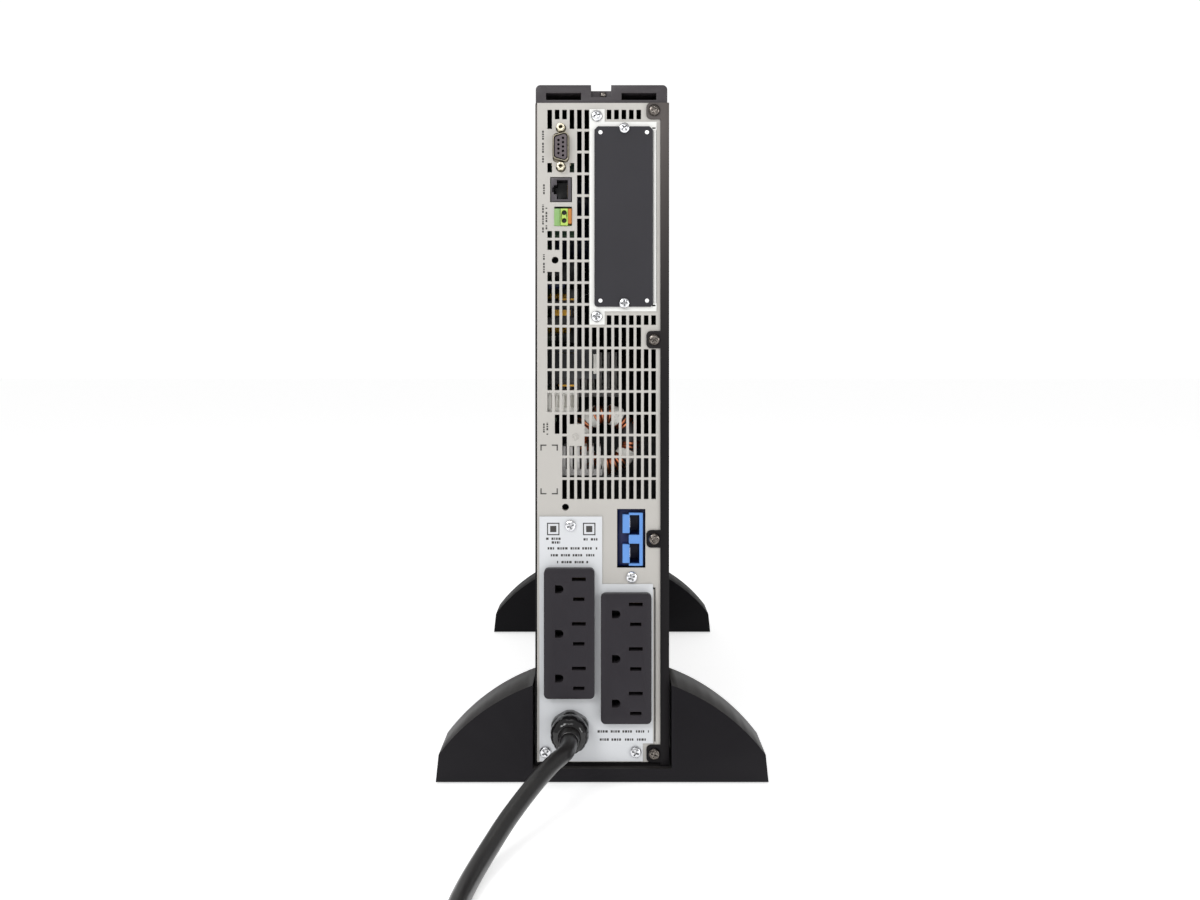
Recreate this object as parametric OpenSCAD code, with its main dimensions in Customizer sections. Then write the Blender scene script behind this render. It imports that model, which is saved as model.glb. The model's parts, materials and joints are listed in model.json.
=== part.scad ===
// Two-unit rack UPS stood on edge as a tower on two half-moon feet.
// +X is to the right seen from behind, +Y runs from the rear panel to the front bezel, +Z is up.
// The origin is on the floor, under the middle of the cabinet with its feet and cord gland.

/* [Cabinet] */
// Width of the steel chassis, which is its height when it lies in a rack
body_w = 86; // [84:0.5:110]
// Height of the steel chassis as a tower, which is its width in a rack
body_h = 426; // [420:1:520]
// Depth of the steel chassis from the rear panel to the bezel
body_d = 455; // [450:1:560]
// Thickness of the sheet steel
sheet = 1.2; // [0.8:0.1:1.6]
// Outside radius of the cover's folded corners
fold_r = 2.4; // [2:0.1:3]
// Depth of the front bezel
bezel_d = 28; // [24:1:36]
// Wall of the moulded plastic covers
wall = 2.5; // [1.8:0.1:3]
// Height of the moulded top cover
cap_h = 11.5; // [9:0.5:16]

/* [Stabiliser feet] */
// Thickness of the web under the chassis
foot_web = 9.3; // [7:0.1:12]
// Reach of each foot beyond the chassis side
foot_reach = 63.3; // [50:0.1:90]
// Height of a foot at its outer end
foot_end_h = 18.2; // [12:0.1:24]
// Height of a foot beside the chassis
foot_shoulder_h = 62.5; // [45:0.5:80]
// Size of a foot from front to back
foot_len = 44; // [36:1:60]
// Gap between a foot's pocket and the chassis side
foot_gap = 1.4; // [0.5:0.1:3]
// Distance the rubber pads lift the foot
pad_lift = 0.8; // [0.4:0.1:1.2]
// Distance the rear foot stands out behind the rear panel
foot_out = 5.8; // [0:0.1:10]
// Distance from the front foot to the front of the chassis
foot_inset = 11.8; // [0:0.1:40]

/* [Rear grille] */
// Width of one slot
slot_w = 3; // [2:0.1:3.6]
// Height of one slot
slot_h = 12.4; // [10:0.1:12.8]
// Spacing of the slot columns
slot_dx = 4.772; // [4.6:0.002:5.5]
// Spacing of the slot rows
slot_dz = 14; // [13.4:0.1:16]

/* [Outlets] */
// Width of a triple outlet block
outlet_w = 32.3; // [30:0.1:34]
// Height of a triple outlet block
outlet_h = 82.9; // [82:0.1:90]
// Corner radius of an outlet block
outlet_r = 3; // [1:0.1:5]
// Distance an outlet face stands out behind the panel
outlet_out = 7; // [3:0.1:10]
// Spacing of the three outlets
outlet_dz = 28.4; // [27:0.1:30]
// Spacing of the two blade slots
blade_dz = 12.7; // [12.7:0.1:12.7]

/* [Signal ports] */
// Spacing of the serial socket's two jackscrews
jack_dz = 24.99; // [24.99:0.01:24.99]
// Width of the data jack
data_w = 13; // [12:0.1:14]
// Height of the data jack
data_h = 15.4; // [14:0.1:16]

/* [Batteries] */
// Thickness of one battery block
batt_t = 65; // [60:0.5:66]
// Length of one battery block
batt_l = 151; // [140:0.5:154]
// Height of one battery block
batt_h = 94; // [80:0.5:96]

/* [Cord] */
// Diameter of the mains cord
cord_d = 10.5; // [8:0.1:12]
// Distance the cord gland stands out behind the panel
gland_out = 26; // [20:0.5:34]
// Width of the gland's hexagon across its flats
gland_af = 24; // [20:0.5:27]

/* [Fans] */
// Outside size of a fan's square frame
fan_s = 80; // [60:1:80]
// Thickness of a fan
fan_t = 25; // [15:1:32]

/* [Hidden] */
$fn = 48;

// Reference planes of the cabinet
xl = -body_w / 2;
xr = body_w / 2;
zb = foot_web;
zt = zb + body_h;
ry = gland_out - (body_d + bezel_d + gland_out) / 2;
fy = ry + body_d;
by = fy + bezel_d;
lip = 2 * sheet;
hair = 0.1;
gap = 0.3;
move_gap = 0.6;

// Cover flange and its four tabs, from the right edge of the chassis
flange_w = 5.65;
tab_reach = 14.6;
tab_h = 11.2;
tab_screw_in = 9.6;
tab_zs = [zb + 8, zb + 145.9, zt - 152.2, zt - 4.9];
screw_r = 3.7;
screw_h = 2.2;
shank_r = 1.9;
shank_l = 6;

// Rear grille, from the top left corner of the panel; negative rows count from the last one
grille_u = 9.26;
grille_top = 4.3;
cols = floor((body_w - 14) / slot_dx);
plate_b = 160.3;
rows = floor((body_h - grille_top - plate_b - 9) / slot_dz);
slot_runs = [
    [0, 1, 1, 0, 1], [0, 2, 3, 0.5, 1], [0, 4, 6, 0, 1], [0, 9, 13, 0.5, 1],
    [1, 5, 6, 0, 1], [2, 1, 1, 0, 0.5], [2, 4, 6, 0, 0.5], [2, 5, 6, 0.5, 1],
    [3, 5, 6, 0, 1], [4, 5, 6, 0, 1], [5, 1, 4, 0, 0.36], [5, 5, 6, 0, 1],
    [6, 1, 2, 0.5, 1], [6, 3, 6, 0, 1], [7, 1, 2, 0, 0.5], [7, 3, 6, 0, 1],
    [8, 1, 6, 0, 1], [9, 1, 6, 0, 1], [9, 9, cols, 0, 0.5], [10, 1, cols - 2, 0, 1],
    [-4, 2, 3, 0, 1], [-4, 4, 5, 0.5, 1], [-4, 6, cols, 0, 1],
    [-3, 3, 3, 0, 1], [-3, 4, 5, 0, 0.5], [-3, 6, cols, 0, 1],
    [-2, 3, cols, 0, 1], [-1, 3, cols, 0, 1]];
first_full_row = 11;

// Places on the rear panel: u from the left edge, b from the bottom, t from the top
port_x = xl + 16.5;
serial_z = zt - 28.8;
standoff_hole_r = 3.3;
data_z = zt - 55.7;
epo_x = xl + 17.9;
epo_z = zt - 72.9;
epo_w = 11.4;
epo_h = 12.2;
earth_r = 2.25;
earth_at = [[xl + 12.7, zt - 101], [xl + 19.4, zb + 166.1]];
frame_t = 1.2;
frame_x = [xl + 34.9, xl + 77.9];
frame_z = [zt - 134, zt - 12.3];
frame_ear_x = xl + 39.5;
frame_ear_zs = [zt - 137.3, zt - 8.6];
blank_x = [xl + 38, xl + 75.6];
blank_z = [zt - 131.1, zt - 15.5];
blank_screw_x = xl + 57.2;
blank_screw_zs = [zt - 128.8, zt - 16.8];
card_x = [xl + 41.5, xl + 72.1];
card_z = [zt - 125, zt - 21.6];
card_depth = 120;
plate_x = [xl + 2.7, xl + 43, xl + 75.6];
plate_z = [zb + 3.2, zb + 116.9, zb + plate_b];
notch_x = xl + 69.1;
notch_z = zb + 14.7;
plate_screws = [[xl + 22.6, zb + 154.5, 20], [xl + 64.4, zb + 9.3, 65], [xl + 6.6, zb + 9.2, 35]];
left_block = [xl + 22, zb + 86.3];
right_block = [xl + 58.3, zb + 70.3];
gland_x = xl + 22.4;
gland_z = zb + 23.8;
gland_thread_r = 9.4;
socket_x = xl + 61.7;
socket_z = zb + 146.1;
socket_w = 18.2;
socket_h = 37.8;
socket_screw = [xl + 61.9, zb + 121.2, 25];
hook_x = xl + 76.2;

// Main board: parallel to the tray, parts stand on its face
board_x = xl + 5.4;
board_t = 1.6;
face_x = board_x + board_t;
board_y = [ry + 18, fy - 46];
board_z = [zt - 216, zt - 7];

// Battery bay and drawer
bay_top = zb + 201;
bay_back = fy - sheet - 2 * batt_l - 12;
drawer_z = [zb + 4.5, zb + 4.5 + 2 * batt_h + 2 * sheet + 1.5];
drawer_y = [fy - sheet - 2 * batt_l - 2 * sheet - 4, fy - sheet];
drawer_half = body_w / 2 - 4;
drawer_x = -drawer_half;
drawer_wall = batt_t * 0.7;
fascia_z = [drawer_z[0] - 1, drawer_z[1] + 3];
fascia_grip_z = (fascia_z[0] + fascia_z[1]) / 2;

// Display and fans, above the battery bay
disc_r = 28;
disc_z = bay_top + 37;
disc_t = 12;
boss_r = 6.7;
rotor_r = fan_s / 2 - 2.7;
hub_r = fan_s * 0.22;
fan_y = [fy - sheet - fan_t - 2, fy - sheet - 2];
fan_top = zt - lip - 3;
fan_zs = [fan_top - fan_s * 1.5 - 10, fan_top - fan_s / 2];
axle_r = 1.5;
axle_gap = 0.05;
button_r = 5;
button_at = [[-9, -15], [9, -15]];

// Mains cord: points of the route behind the gland, then the coil and the tail to the plug
coil_c = [5, ry - 300];
coil_in = 36;
coil_out = 78.5;
coil_lift = 0.8;
coil_h = 21.2;
cord_route = [[gland_x, ry - 26, gland_z], [gland_x, ry - 34, gland_z], [-23, ry - 46, 32.5],
    [-29, ry - 58, 31], [-35.5, ry - 71, 28], [-42, ry - 84, 24], [-48, ry - 97, 20],
    [-53.5, ry - 110, 16], [-58.5, ry - 124, 12], [-63, ry - 138, 8.5], [-66.5, ry - 153, 6.5],
    [-69, ry - 168, 5.5], [-70.5, ry - 184, 5.5], [-71, ry - 200, 5.5], [-71, ry - 218, 5.5],
    [-70, ry - 238, 6], [-68, ry - 259, 6]];
tail_route = [[45, ry - 373, 16], [52, ry - 373, 15.5], [59, ry - 373, 14.5], [66, ry - 373, 14.5]];
plug_x = 66;
plug_y = ry - 373;
plug_z = 14.5;
plug_len = 46;
pin_r = 2.39;

// A box between two corners, each side given as [low, high]
module span(x, y, z) {
    translate([x[0], y[0], z[0]]) cube([x[1] - x[0], y[1] - y[0], z[1] - z[0]]);
}

// A plate drawn as an outline seen from behind, from depth y forwards by t
module plate_at(y, t) {
    translate([0, y + t, 0]) rotate([90, 0, 0]) linear_extrude(t) children();
}

// A round bar along Y
module rod_y(x, z, y, r) {
    translate([x, y[0], z]) rotate([-90, 0, 0]) cylinder(h = y[1] - y[0], r = r);
}

// A rectangle by its low and high sides
module rect(x, z) {
    translate([x[0], z[0]]) square([x[1] - x[0], z[1] - z[0]]);
}

// A rectangle about its centre with round corners
module soft_rect(w, h, r) {
    square([w - 2 * r, h], center = true);
    square([w, h - 2 * r], center = true);
    for (sx = [-1, 1], sz = [-1, 1])
        translate([sx * (w / 2 - r), sz * (h / 2 - r)]) circle(r);
}

// A pan-head cross-recess screw driven forwards into the face at depth y
module pan_screw(x, z, y, turn, head_r = screw_r, head_h = screw_h, r = shank_r, l = shank_l) {
    translate([x, y, z]) rotate([90, 0, 0]) difference() {
        union() {
            rotate_extrude() polygon([[0, 0], [head_r, 0], [head_r, head_h * 0.45],
                [head_r * 0.85, head_h * 0.8], [head_r * 0.5, head_h], [0, head_h]]);
            translate([0, 0, -l]) cylinder(h = l + hair, r = r);
        }
        for (a = [turn, turn + 90]) rotate(a)
            translate([-head_r * 0.62, -head_r * 0.15, head_h * 0.2])
                cube([head_r * 1.24, head_r * 0.3, head_h]);
    }
}

// Steel chassis

module base_tray() {
    color([0.13, 0.13, 0.14]) {
        span([xl, xl + sheet], [ry, fy], [zb + sheet, zt - sheet]);
        span([xl, xl + 16], [ry, fy], [zb + sheet, zb + lip]);
        span([xl, xl + 16], [ry + sheet, fy], [zt - lip, zt - sheet]);
    }
}

module slot_run(run) {
    row = run[0] < 0 ? rows + run[0] : run[0];
    top = zt - grille_top - slot_dz * row;
    for (c = [run[1] : run[2]]) {
        x = xl + grille_u + slot_dx * (c - 1);
        rect([x - slot_w / 2, x + slot_w / 2], [top - slot_h * (1 - run[3]), top - slot_h * (1 - run[4])]);
    }
}

module grille() {
    for (run = slot_runs) slot_run(run);
    if (rows - 5 >= first_full_row)
        for (row = [first_full_row : rows - 5]) slot_run([row, 1, cols, 0, 1]);
}

// Windows that the rear panel and the outlet plate share
module outlet_windows(grow) {
    for (c = [left_block, right_block]) translate(c)
        square([outlet_w - 4 + grow, outlet_h - 4 + grow], center = true);
    translate([gland_x, gland_z]) circle(gland_thread_r + grow);
}

module port_windows() {
    translate([port_x, serial_z]) soft_rect(10.8, 19, 3);
    for (s = [-1, 1]) translate([port_x, serial_z + s * jack_dz / 2]) circle(standoff_hole_r);
    translate([port_x + 0.1, data_z]) square([data_w + 1.1, data_h + 0.8], center = true);
    translate([epo_x, epo_z]) square([epo_w, epo_h + 0.4], center = true);
    translate([socket_x, socket_z]) square([socket_w, socket_h], center = true);
}

module rear_panel() {
    color([0.84, 0.83, 0.81]) difference() {
        union() {
            plate_at(ry, sheet) rect([xl + sheet, xr - sheet], [zb + lip, zt]);
            span([xl + sheet, xl + 2 * sheet], [ry, ry + 14], [zb + lip, zt - lip]);
            for (p = earth_at) rod_y(p[0], p[1], [ry, ry + 6], 4.2);
        }
        plate_at(ry - 1, sheet + 2) {
            grille();
            port_windows();
            outlet_windows(1);
            rect(card_x, card_z);
            rect([hook_x - 1.2, hook_x + 1.2], [blank_z[1] - 1.3, blank_z[1] - 0.4]);
            rect([hook_x - 1.2, hook_x + 1.2], [blank_z[0] + 0.4, blank_z[0] + 1.3]);
            rect([hook_x + 0.3, hook_x + 1.1], [plate_z[0] + 12, plate_z[1] - 3]);
            rect([hook_x - 1.3, hook_x + 1.1], [plate_z[1] - 3.6, plate_z[1] - 2.4]);
            for (z = tab_zs) translate([xr - tab_screw_in, z]) circle(shank_r + hair);
            for (z = frame_ear_zs) translate([frame_ear_x, z]) circle(shank_r + hair);
            for (z = blank_screw_zs) translate([blank_screw_x, z]) circle(shank_r + hair);
            for (p = concat(plate_screws, [socket_screw])) translate([p[0], p[1]]) circle(shank_r + hair);
        }
        for (p = earth_at) rod_y(p[0], p[1], [ry - 1, ry + 7], earth_r);
    }
}

module cover_section() {
    difference() {
        translate([0, zb + body_h / 2]) soft_rect(body_w, body_h, fold_r);
        translate([0, zb + body_h / 2])
            soft_rect(body_w - 2 * sheet, body_h - 2 * sheet, fold_r - sheet);
        rect([xl - 1, xl + fold_r], [zb + sheet, zt - sheet]);
        rect([xl - 1, xl], [zb - 1, zt + 1]);
    }
    rect([xl, xl + fold_r], [zb, zb + sheet]);
    rect([xl, xl + fold_r], [zt - sheet, zt]);
}

// Holes in the tower's underside for a rack ear
ear_holes = [38, 60];
ear_y = ry + 345;
ear_hole_r = 2.1;

module outer_cover() {
    color([0.2, 0.2, 0.21]) difference() {
        union() {
            plate_at(ry + sheet, body_d - sheet) cover_section();
            plate_at(ry, sheet) {
                rect([xl, xr - fold_r], [zb, zb + sheet]);
                rect([xr - sheet, xr], [zb + sheet, zt - sheet]);
            }
            plate_at(ry - sheet, sheet) {
                rect([xr - flange_w, xr], [zb, zt]);
                for (z = tab_zs) {
                    low = max(zb, z - tab_h / 2);
                    high = min(zt, z + tab_h / 2);
                    rect([xr - tab_reach + 3, xr - flange_w], [low, high]);
                    rect([xr - tab_reach, xr - tab_reach + 3], [low + 3, high - 3]);
                    for (c = [low + 3, high - 3]) translate([xr - tab_reach + 3, c]) circle(3);
                }
            }
        }
        for (z = tab_zs) rod_y(xr - tab_screw_in, z, [ry - 2, ry + 1], shank_r + hair);
        for (sx = [-1, 1], sy = [-1, 1])
            translate([sx * ear_holes[0] / 2, ear_y + sy * ear_holes[1] / 2, zb - 1])
                cylinder(h = sheet + 2, r = ear_hole_r);
    }
}

module cover_screws() {
    color([0.1, 0.1, 0.1]) {
        for (i = [0 : 3]) pan_screw(xr - tab_screw_in, tab_zs[i], ry - sheet, [70, 35, 50, 25][i]);
        pan_screw(cap_screw_x, cap_screw_z, ry + 3, 40, 1.9, 1.6, 1.3, 8);
    }
}

module front_frame() {
    color([0.6, 0.61, 0.62]) plate_at(fy - sheet, sheet) difference() {
        rect([xl + sheet, xr - sheet], [zb + lip, zt - lip]);
        rect([xl + 2 * sheet, xr - 2 * sheet], [zb + lip + 1.4, bay_top - 1]);
        for (z = fan_zs) translate([0, z]) circle(fan_s / 2 - 2);
        translate([0, disc_z]) circle(8);
    }
}

module bay_divider() {
    color([0.62, 0.63, 0.64]) {
        span([xl + sheet, xr - sheet], [bay_back, fy - sheet], [bay_top, bay_top + sheet]);
        span([xl + sheet, xr - sheet], [bay_back, bay_back + sheet], [zb + lip, bay_top]);
    }
}

// Moulded top cover

cap_screw_x = 0.6;
cap_screw_z = zt + 5.9;
cap_x = -0.4;
cap_side = 0.7;
groove_w = 13;
groove_x = -0.7;
cap_pockets = [[xl + 6.8, xl + 29.5], [xr - 30.6, xr - 8.1]];

module top_cover() {
    color([0.17, 0.16, 0.18]) difference() {
        plate_at(ry, body_d) difference() {
            union() {
                translate([cap_x, zt + cap_h / 2]) soft_rect(body_w - 2 * cap_side, cap_h, 3);
                rect([cap_x + xl + cap_side, cap_x + xr - cap_side], [zt, zt + cap_h / 2]);
            }
            rect([groove_x - groove_w / 2, groove_x + groove_w / 2],
                [zt + cap_h - 3.2, zt + cap_h + 1]);
        }
        span([groove_x - groove_w / 2, groove_x + groove_w / 2], [ry - 1, ry + 3],
            [zt + 3.8, zt + cap_h + 1]);
        for (p = cap_pockets) span(p, [ry - 1, ry + 40], [zt + 1.9, zt + 6.5]);
        span([-body_w / 2 + 4, body_w / 2 - 4], [ry + 44, ry + body_d - 4], [zt - 1, zt + 5.5]);
        rod_y(cap_screw_x, cap_screw_z, [ry + 2, ry + 12], 1.4);
    }
}

// Expansion card slot

module card_frame() {
    color([0.86, 0.86, 0.85]) plate_at(ry - frame_t, frame_t) difference() {
        union() {
            rect(frame_x, frame_z);
            rect([frame_x[0], frame_x[0] + 9.7], [frame_ear_zs[0] - 5.2, frame_z[0]]);
            rect([frame_x[0], frame_x[0] + 9.7], [frame_z[1], frame_ear_zs[1] + 4.4]);
        }
        rect(card_x, card_z);
        for (z = [blank_z[0] + 0.8, blank_z[1] - 0.8])
            translate([hook_x, z]) square([2.2, 1], center = true);
        for (z = frame_ear_zs) translate([frame_ear_x, z]) circle(shank_r + hair);
        for (z = blank_screw_zs) translate([blank_screw_x, z]) circle(shank_r + hair);
        rivet_places() circle(rivet_r + hair);
    }
}

rivet_in = 3.9;
rivet_r = 0.85;
rivet_head_r = 1.3;
blank_t = 1.5;

module rivet_places() {
    for (x = [blank_x[0] + rivet_in, blank_x[1] - rivet_in],
        z = [blank_z[0] + rivet_in, blank_z[1] - rivet_in]) translate([x, z]) children();
}

module card_blank_plate() {
    corner = 2.2;
    color([0.3, 0.29, 0.3]) plate_at(ry - frame_t - blank_t, blank_t) difference() {
        union() {
            rect([blank_x[0], blank_x[1]], [blank_z[0] + corner, blank_z[1] - corner]);
            polygon([[blank_x[0], blank_z[1] - corner], [blank_x[1], blank_z[1] - corner],
                [blank_x[1] - corner, blank_z[1]], [blank_x[0] + corner, blank_z[1]]]);
            rect([blank_x[0] + corner, blank_x[1] - corner], [blank_z[0], blank_z[0] + corner]);
            for (x = [blank_x[0] + corner, blank_x[1] - corner])
                translate([x, blank_z[0] + corner]) circle(corner);
        }
        for (z = blank_screw_zs) translate([blank_screw_x, z]) circle(shank_r + hair);
        rivet_places() circle(rivet_r + hair);
    }
}

module card_plate_rivets() {
    face = ry - frame_t - blank_t;
    color([0.93, 0.93, 0.93]) {
        plate_at(face - 0.5, 0.5) rivet_places() circle(rivet_head_r);
        plate_at(face - hair, blank_t + frame_t + hair) rivet_places() circle(rivet_r);
    }
}

module card_cage() {
    t = 1;
    x = [card_x[0] - 2, card_x[1] + 2];
    z = [card_z[0] - 1.5, card_z[1] + 1.5];
    y = [ry + sheet, ry + sheet + card_depth];
    color([0.7, 0.71, 0.72]) {
        difference() {
            span(x, y, z);
            span([x[0] + t, x[1] - t], [y[0] - 1, y[1] - 14], [z[0] + t, z[1] - t]);
            span([x[0] + 5, x[1] - 5], [y[1] - 20, y[1] + 1], [z[0] + 30, z[1] - 30]);
        }
        for (e = [z[0] + t, z[1] - t - 2])
            span([x[0] + 8, x[0] + 11], [y[0] + 6, y[1] - 14], [e, e + 2]);
    }
}

// Mains outlets

module plate_outline() {
    rect([plate_x[0], plate_x[1]], [plate_z[0], plate_z[2]]);
    rect([plate_x[1], plate_x[2]], [notch_z, plate_z[1]]);
    rect([plate_x[1], notch_x], [plate_z[0], notch_z]);
}

module outlet_plate() {
    color([0.8, 0.81, 0.83]) plate_at(ry - frame_t, frame_t) difference() {
        plate_outline();
        outlet_windows(1);
        for (p = plate_screws) translate([p[0], p[1]]) circle(shank_r + hair);
    }
}

module panel_screws() {
    front = ry - frame_t;
    color([0.85, 0.86, 0.88]) {
        for (i = [0, 1]) pan_screw(frame_ear_x, frame_ear_zs[i], front, [80, 15][i]);
        for (i = [0, 1]) pan_screw(blank_screw_x, blank_screw_zs[i], front - blank_t, [5, 40][i], 3.5);
        for (p = plate_screws) pan_screw(p[0], p[1], front, p[2]);
        pan_screw(socket_screw[0], socket_screw[1], ry, socket_screw[2]);
    }
}

blade_x = 6.1;
ground_x = -6.2;
ground_r = 2.6;
blade_t = 2.4;
neutral_l = 8.9;
hot_l = 7.3;
hole_depth = 16;
leaf_t = 0.35;
outlet_back = ry + 21;

// The D-shaped ground hole, flat side to the left
module ground_hole() {
    rect([ground_x - 2.9, ground_x], [-ground_r, ground_r]);
    translate([ground_x, 0]) circle(ground_r);
}

module outlet_block(c) {
    color([0.2, 0.2, 0.22]) difference() {
        union() {
            plate_at(ry - outlet_out, outlet_out - frame_t)
                translate(c) soft_rect(outlet_w, outlet_h, outlet_r);
            plate_at(ry - frame_t - hair, outlet_back - ry + frame_t + hair)
                translate(c) square([outlet_w - 4, outlet_h - 4], center = true);
        }
        for (k = [-1 : 1]) translate([c[0], 0, c[1] + k * outlet_dz]) {
            plate_at(ry - outlet_out - 1, hole_depth + 1) {
                translate([blade_x, blade_dz / 2]) square([neutral_l, blade_t], center = true);
                translate([blade_x, -blade_dz / 2]) square([hot_l, blade_t], center = true);
                ground_hole();
            }
        }
    }
}

module outlet_block_left() { outlet_block(left_block); }

module outlet_block_right() { outlet_block(right_block); }

module outlet_contacts() {
    y = [ry - outlet_out + 10, ry - outlet_out + hole_depth];
    color([0.78, 0.6, 0.28]) for (c = [left_block, right_block], k = [-1 : 1])
        translate([c[0], 0, c[1] + k * outlet_dz]) for (s = [-1, 1]) {
            l = s > 0 ? neutral_l : hot_l;
            for (e = [-1, 1])
                translate([blade_x, (y[0] + y[1]) / 2, s * blade_dz / 2 + e * (blade_t - leaf_t) / 2])
                    cube([l, y[1] - y[0], leaf_t], center = true);
        }
}

// Signal ports

module d_outline(w, h, r) {
    hull() for (s = [-1, 1]) {
        translate([w / 2 - r, s * (h / 2 - r)]) circle(r);
        translate([-w / 2 + r, s * (h / 2 - r - 1.3)]) circle(r);
    }
}

module serial_shell() {
    color([0.72, 0.7, 0.66]) {
        plate_at(ry - 5.2, 5.2 + sheet) translate([port_x, serial_z]) difference() {
            d_outline(9.9, 18.3, 2.6);
            d_outline(8.9, 17.3, 2.2);
        }
        plate_at(ry + sheet, 0.6) translate([port_x, serial_z]) difference() {
            union() {
                square([12.5, 23], center = true);
                for (s = [-1, 1]) translate([0, s * jack_dz / 2]) circle(3.1);
            }
            d_outline(8.9, 17.3, 2.2);
            for (s = [-1, 1]) translate([0, s * jack_dz / 2]) circle(1.6);
        }
        plate_at(ry + sheet + 0.5, 8) translate([port_x, serial_z]) difference() {
            square([11, 19], center = true);
            square([9.4, 17.8], center = true);
        }
    }
}

pin_hole_r = 0.8;

module serial_insulator() {
    color([0.4, 0.4, 0.44]) difference() {
        union() {
            plate_at(ry - 4.6, 4.6 + sheet + 0.7) translate([port_x, serial_z]) d_outline(7.6, 16, 1.8);
            plate_at(ry + sheet + 0.6, 7) translate([port_x, serial_z]) square([8.6, 17], center = true);
        }
        for (i = [0 : 4]) rod_y(port_x + 1.45, serial_z + (i - 2) * 2.77, [ry - 6, ry + 3], pin_hole_r);
        for (i = [0 : 3]) rod_y(port_x - 1.45, serial_z + (i - 1.5) * 2.77, [ry - 6, ry + 3], pin_hole_r);
    }
}

jackscrew_r = 1.25;

module serial_jackscrews() {
    color([0.75, 0.73, 0.66]) for (s = [-1, 1])
        translate([port_x, ry, serial_z + s * jack_dz / 2]) rotate([90, 0, 0]) difference() {
            union() {
                translate([0, 0, -sheet]) cylinder(h = 5 + sheet, r = 2.75, $fn = 6);
                translate([0, 0, -8]) cylinder(h = 8.1, r = 1.5);
            }
            translate([0, 0, -3]) cylinder(h = 9, r = jackscrew_r);
        }
}

ports_d = 17.2;
data_open = [7, 12.4];
data_depth = 14;
data_off = 0.9;
contact_y = [ry + 5, ry + 12];

module data_jack() {
    x = [port_x + 0.1 - data_w / 2, port_x + 0.1 + data_w / 2];
    open_x = [port_x + data_off - data_open[0] / 2, port_x + data_off + data_open[0] / 2];
    color([0.27, 0.27, 0.3]) difference() {
        span(x, [ry - 0.4, ry + ports_d], [data_z - data_h / 2, data_z + data_h / 2]);
        span(open_x, [ry - 1, ry - 0.4 + data_depth],
            [data_z - data_open[1] / 2, data_z + data_open[1] / 2]);
        span([open_x[0] - 2, open_x[0] + 1], [ry - 1, ry - 0.4 + data_depth],
            [data_z - 3, data_z + 3]);
        span([open_x[0] - 3, open_x[0]], [ry - 1, ry + 6], [data_z - 1.6, data_z + 1.6]);
    }
}

module data_jack_contacts() {
    x1 = port_x + data_off + data_open[0] / 2;
    color([0.85, 0.68, 0.3]) for (i = [0 : 7])
        span([x1 - 0.5, x1], contact_y, [data_z + (i - 3.5) * 1.02 - 0.2, data_z + (i - 3.5) * 1.02 + 0.2]);
}

// Emergency-power-off terminal: the plug and its lever pull out of the header
epo_l = epo_x - epo_w / 2;
epo_split = [epo_l + 4.1, epo_l + 8.8, epo_l + epo_w];
epo_low = epo_z - epo_h / 2;
epo_plug_y = [ry - 1.5, ry + 9];

module epo_header() {
    color([0.45, 0.72, 0.38]) {
        span([epo_l, epo_split[0] - 0.2], [ry - 0.5, ry + ports_d], [epo_low, epo_low + epo_h - 1.2]);
        span([epo_l, epo_split[2]], [ry + 11, ry + ports_d], [epo_low, epo_low + epo_h - 1.2]);
        for (k = [0, 1]) rod_y(epo_l + 6.4, epo_low + 3.3 + k * 5.08, [ry + 6, ry + 11.1], 0.6);
    }
}

module epo_plug() {
    color([0.76, 0.86, 0.42]) difference() {
        span([epo_split[0], epo_split[1]], epo_plug_y, [epo_low + 0.2, epo_low + epo_h - 1.2]);
        for (k = [0, 1]) {
            rod_y(epo_l + 6.4, epo_low + 3.3 + k * 5.08, [ry - 2, ry + 4], 1.6);
            rod_y(epo_l + 6.4, epo_low + 3.3 + k * 5.08, [ry + 3, ry + 10], 0.9);
        }
    }
}

module epo_lever() {
    color([0.85, 0.45, 0.15])
        span([epo_split[1], epo_split[2] - 0.2], [ry - 1, ry + 8], [epo_low + 1.4, epo_low + epo_h - 1.2]);
}

module comms_board() {
    color([0.15, 0.35, 0.2])
        span([port_x - 8, port_x + 9.5], [ry + ports_d, ry + ports_d + 1.6], [epo_z - 12, serial_z + 14]);
    color([0.15, 0.15, 0.16])
        span([port_x - 5, port_x + 6], [ry + ports_d + 1.6, ry + ports_d + 4.8], [data_z - 8, data_z + 6]);
}

// Battery extension socket: two-pole shell with tongues and a C-shaped rim
socket_y = [ry - 0.2, ry + 26];
socket_deep = 5;
pole_dz = 9.6;
cavity_x = [socket_x - 1.6, socket_x + 5.2];

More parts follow.
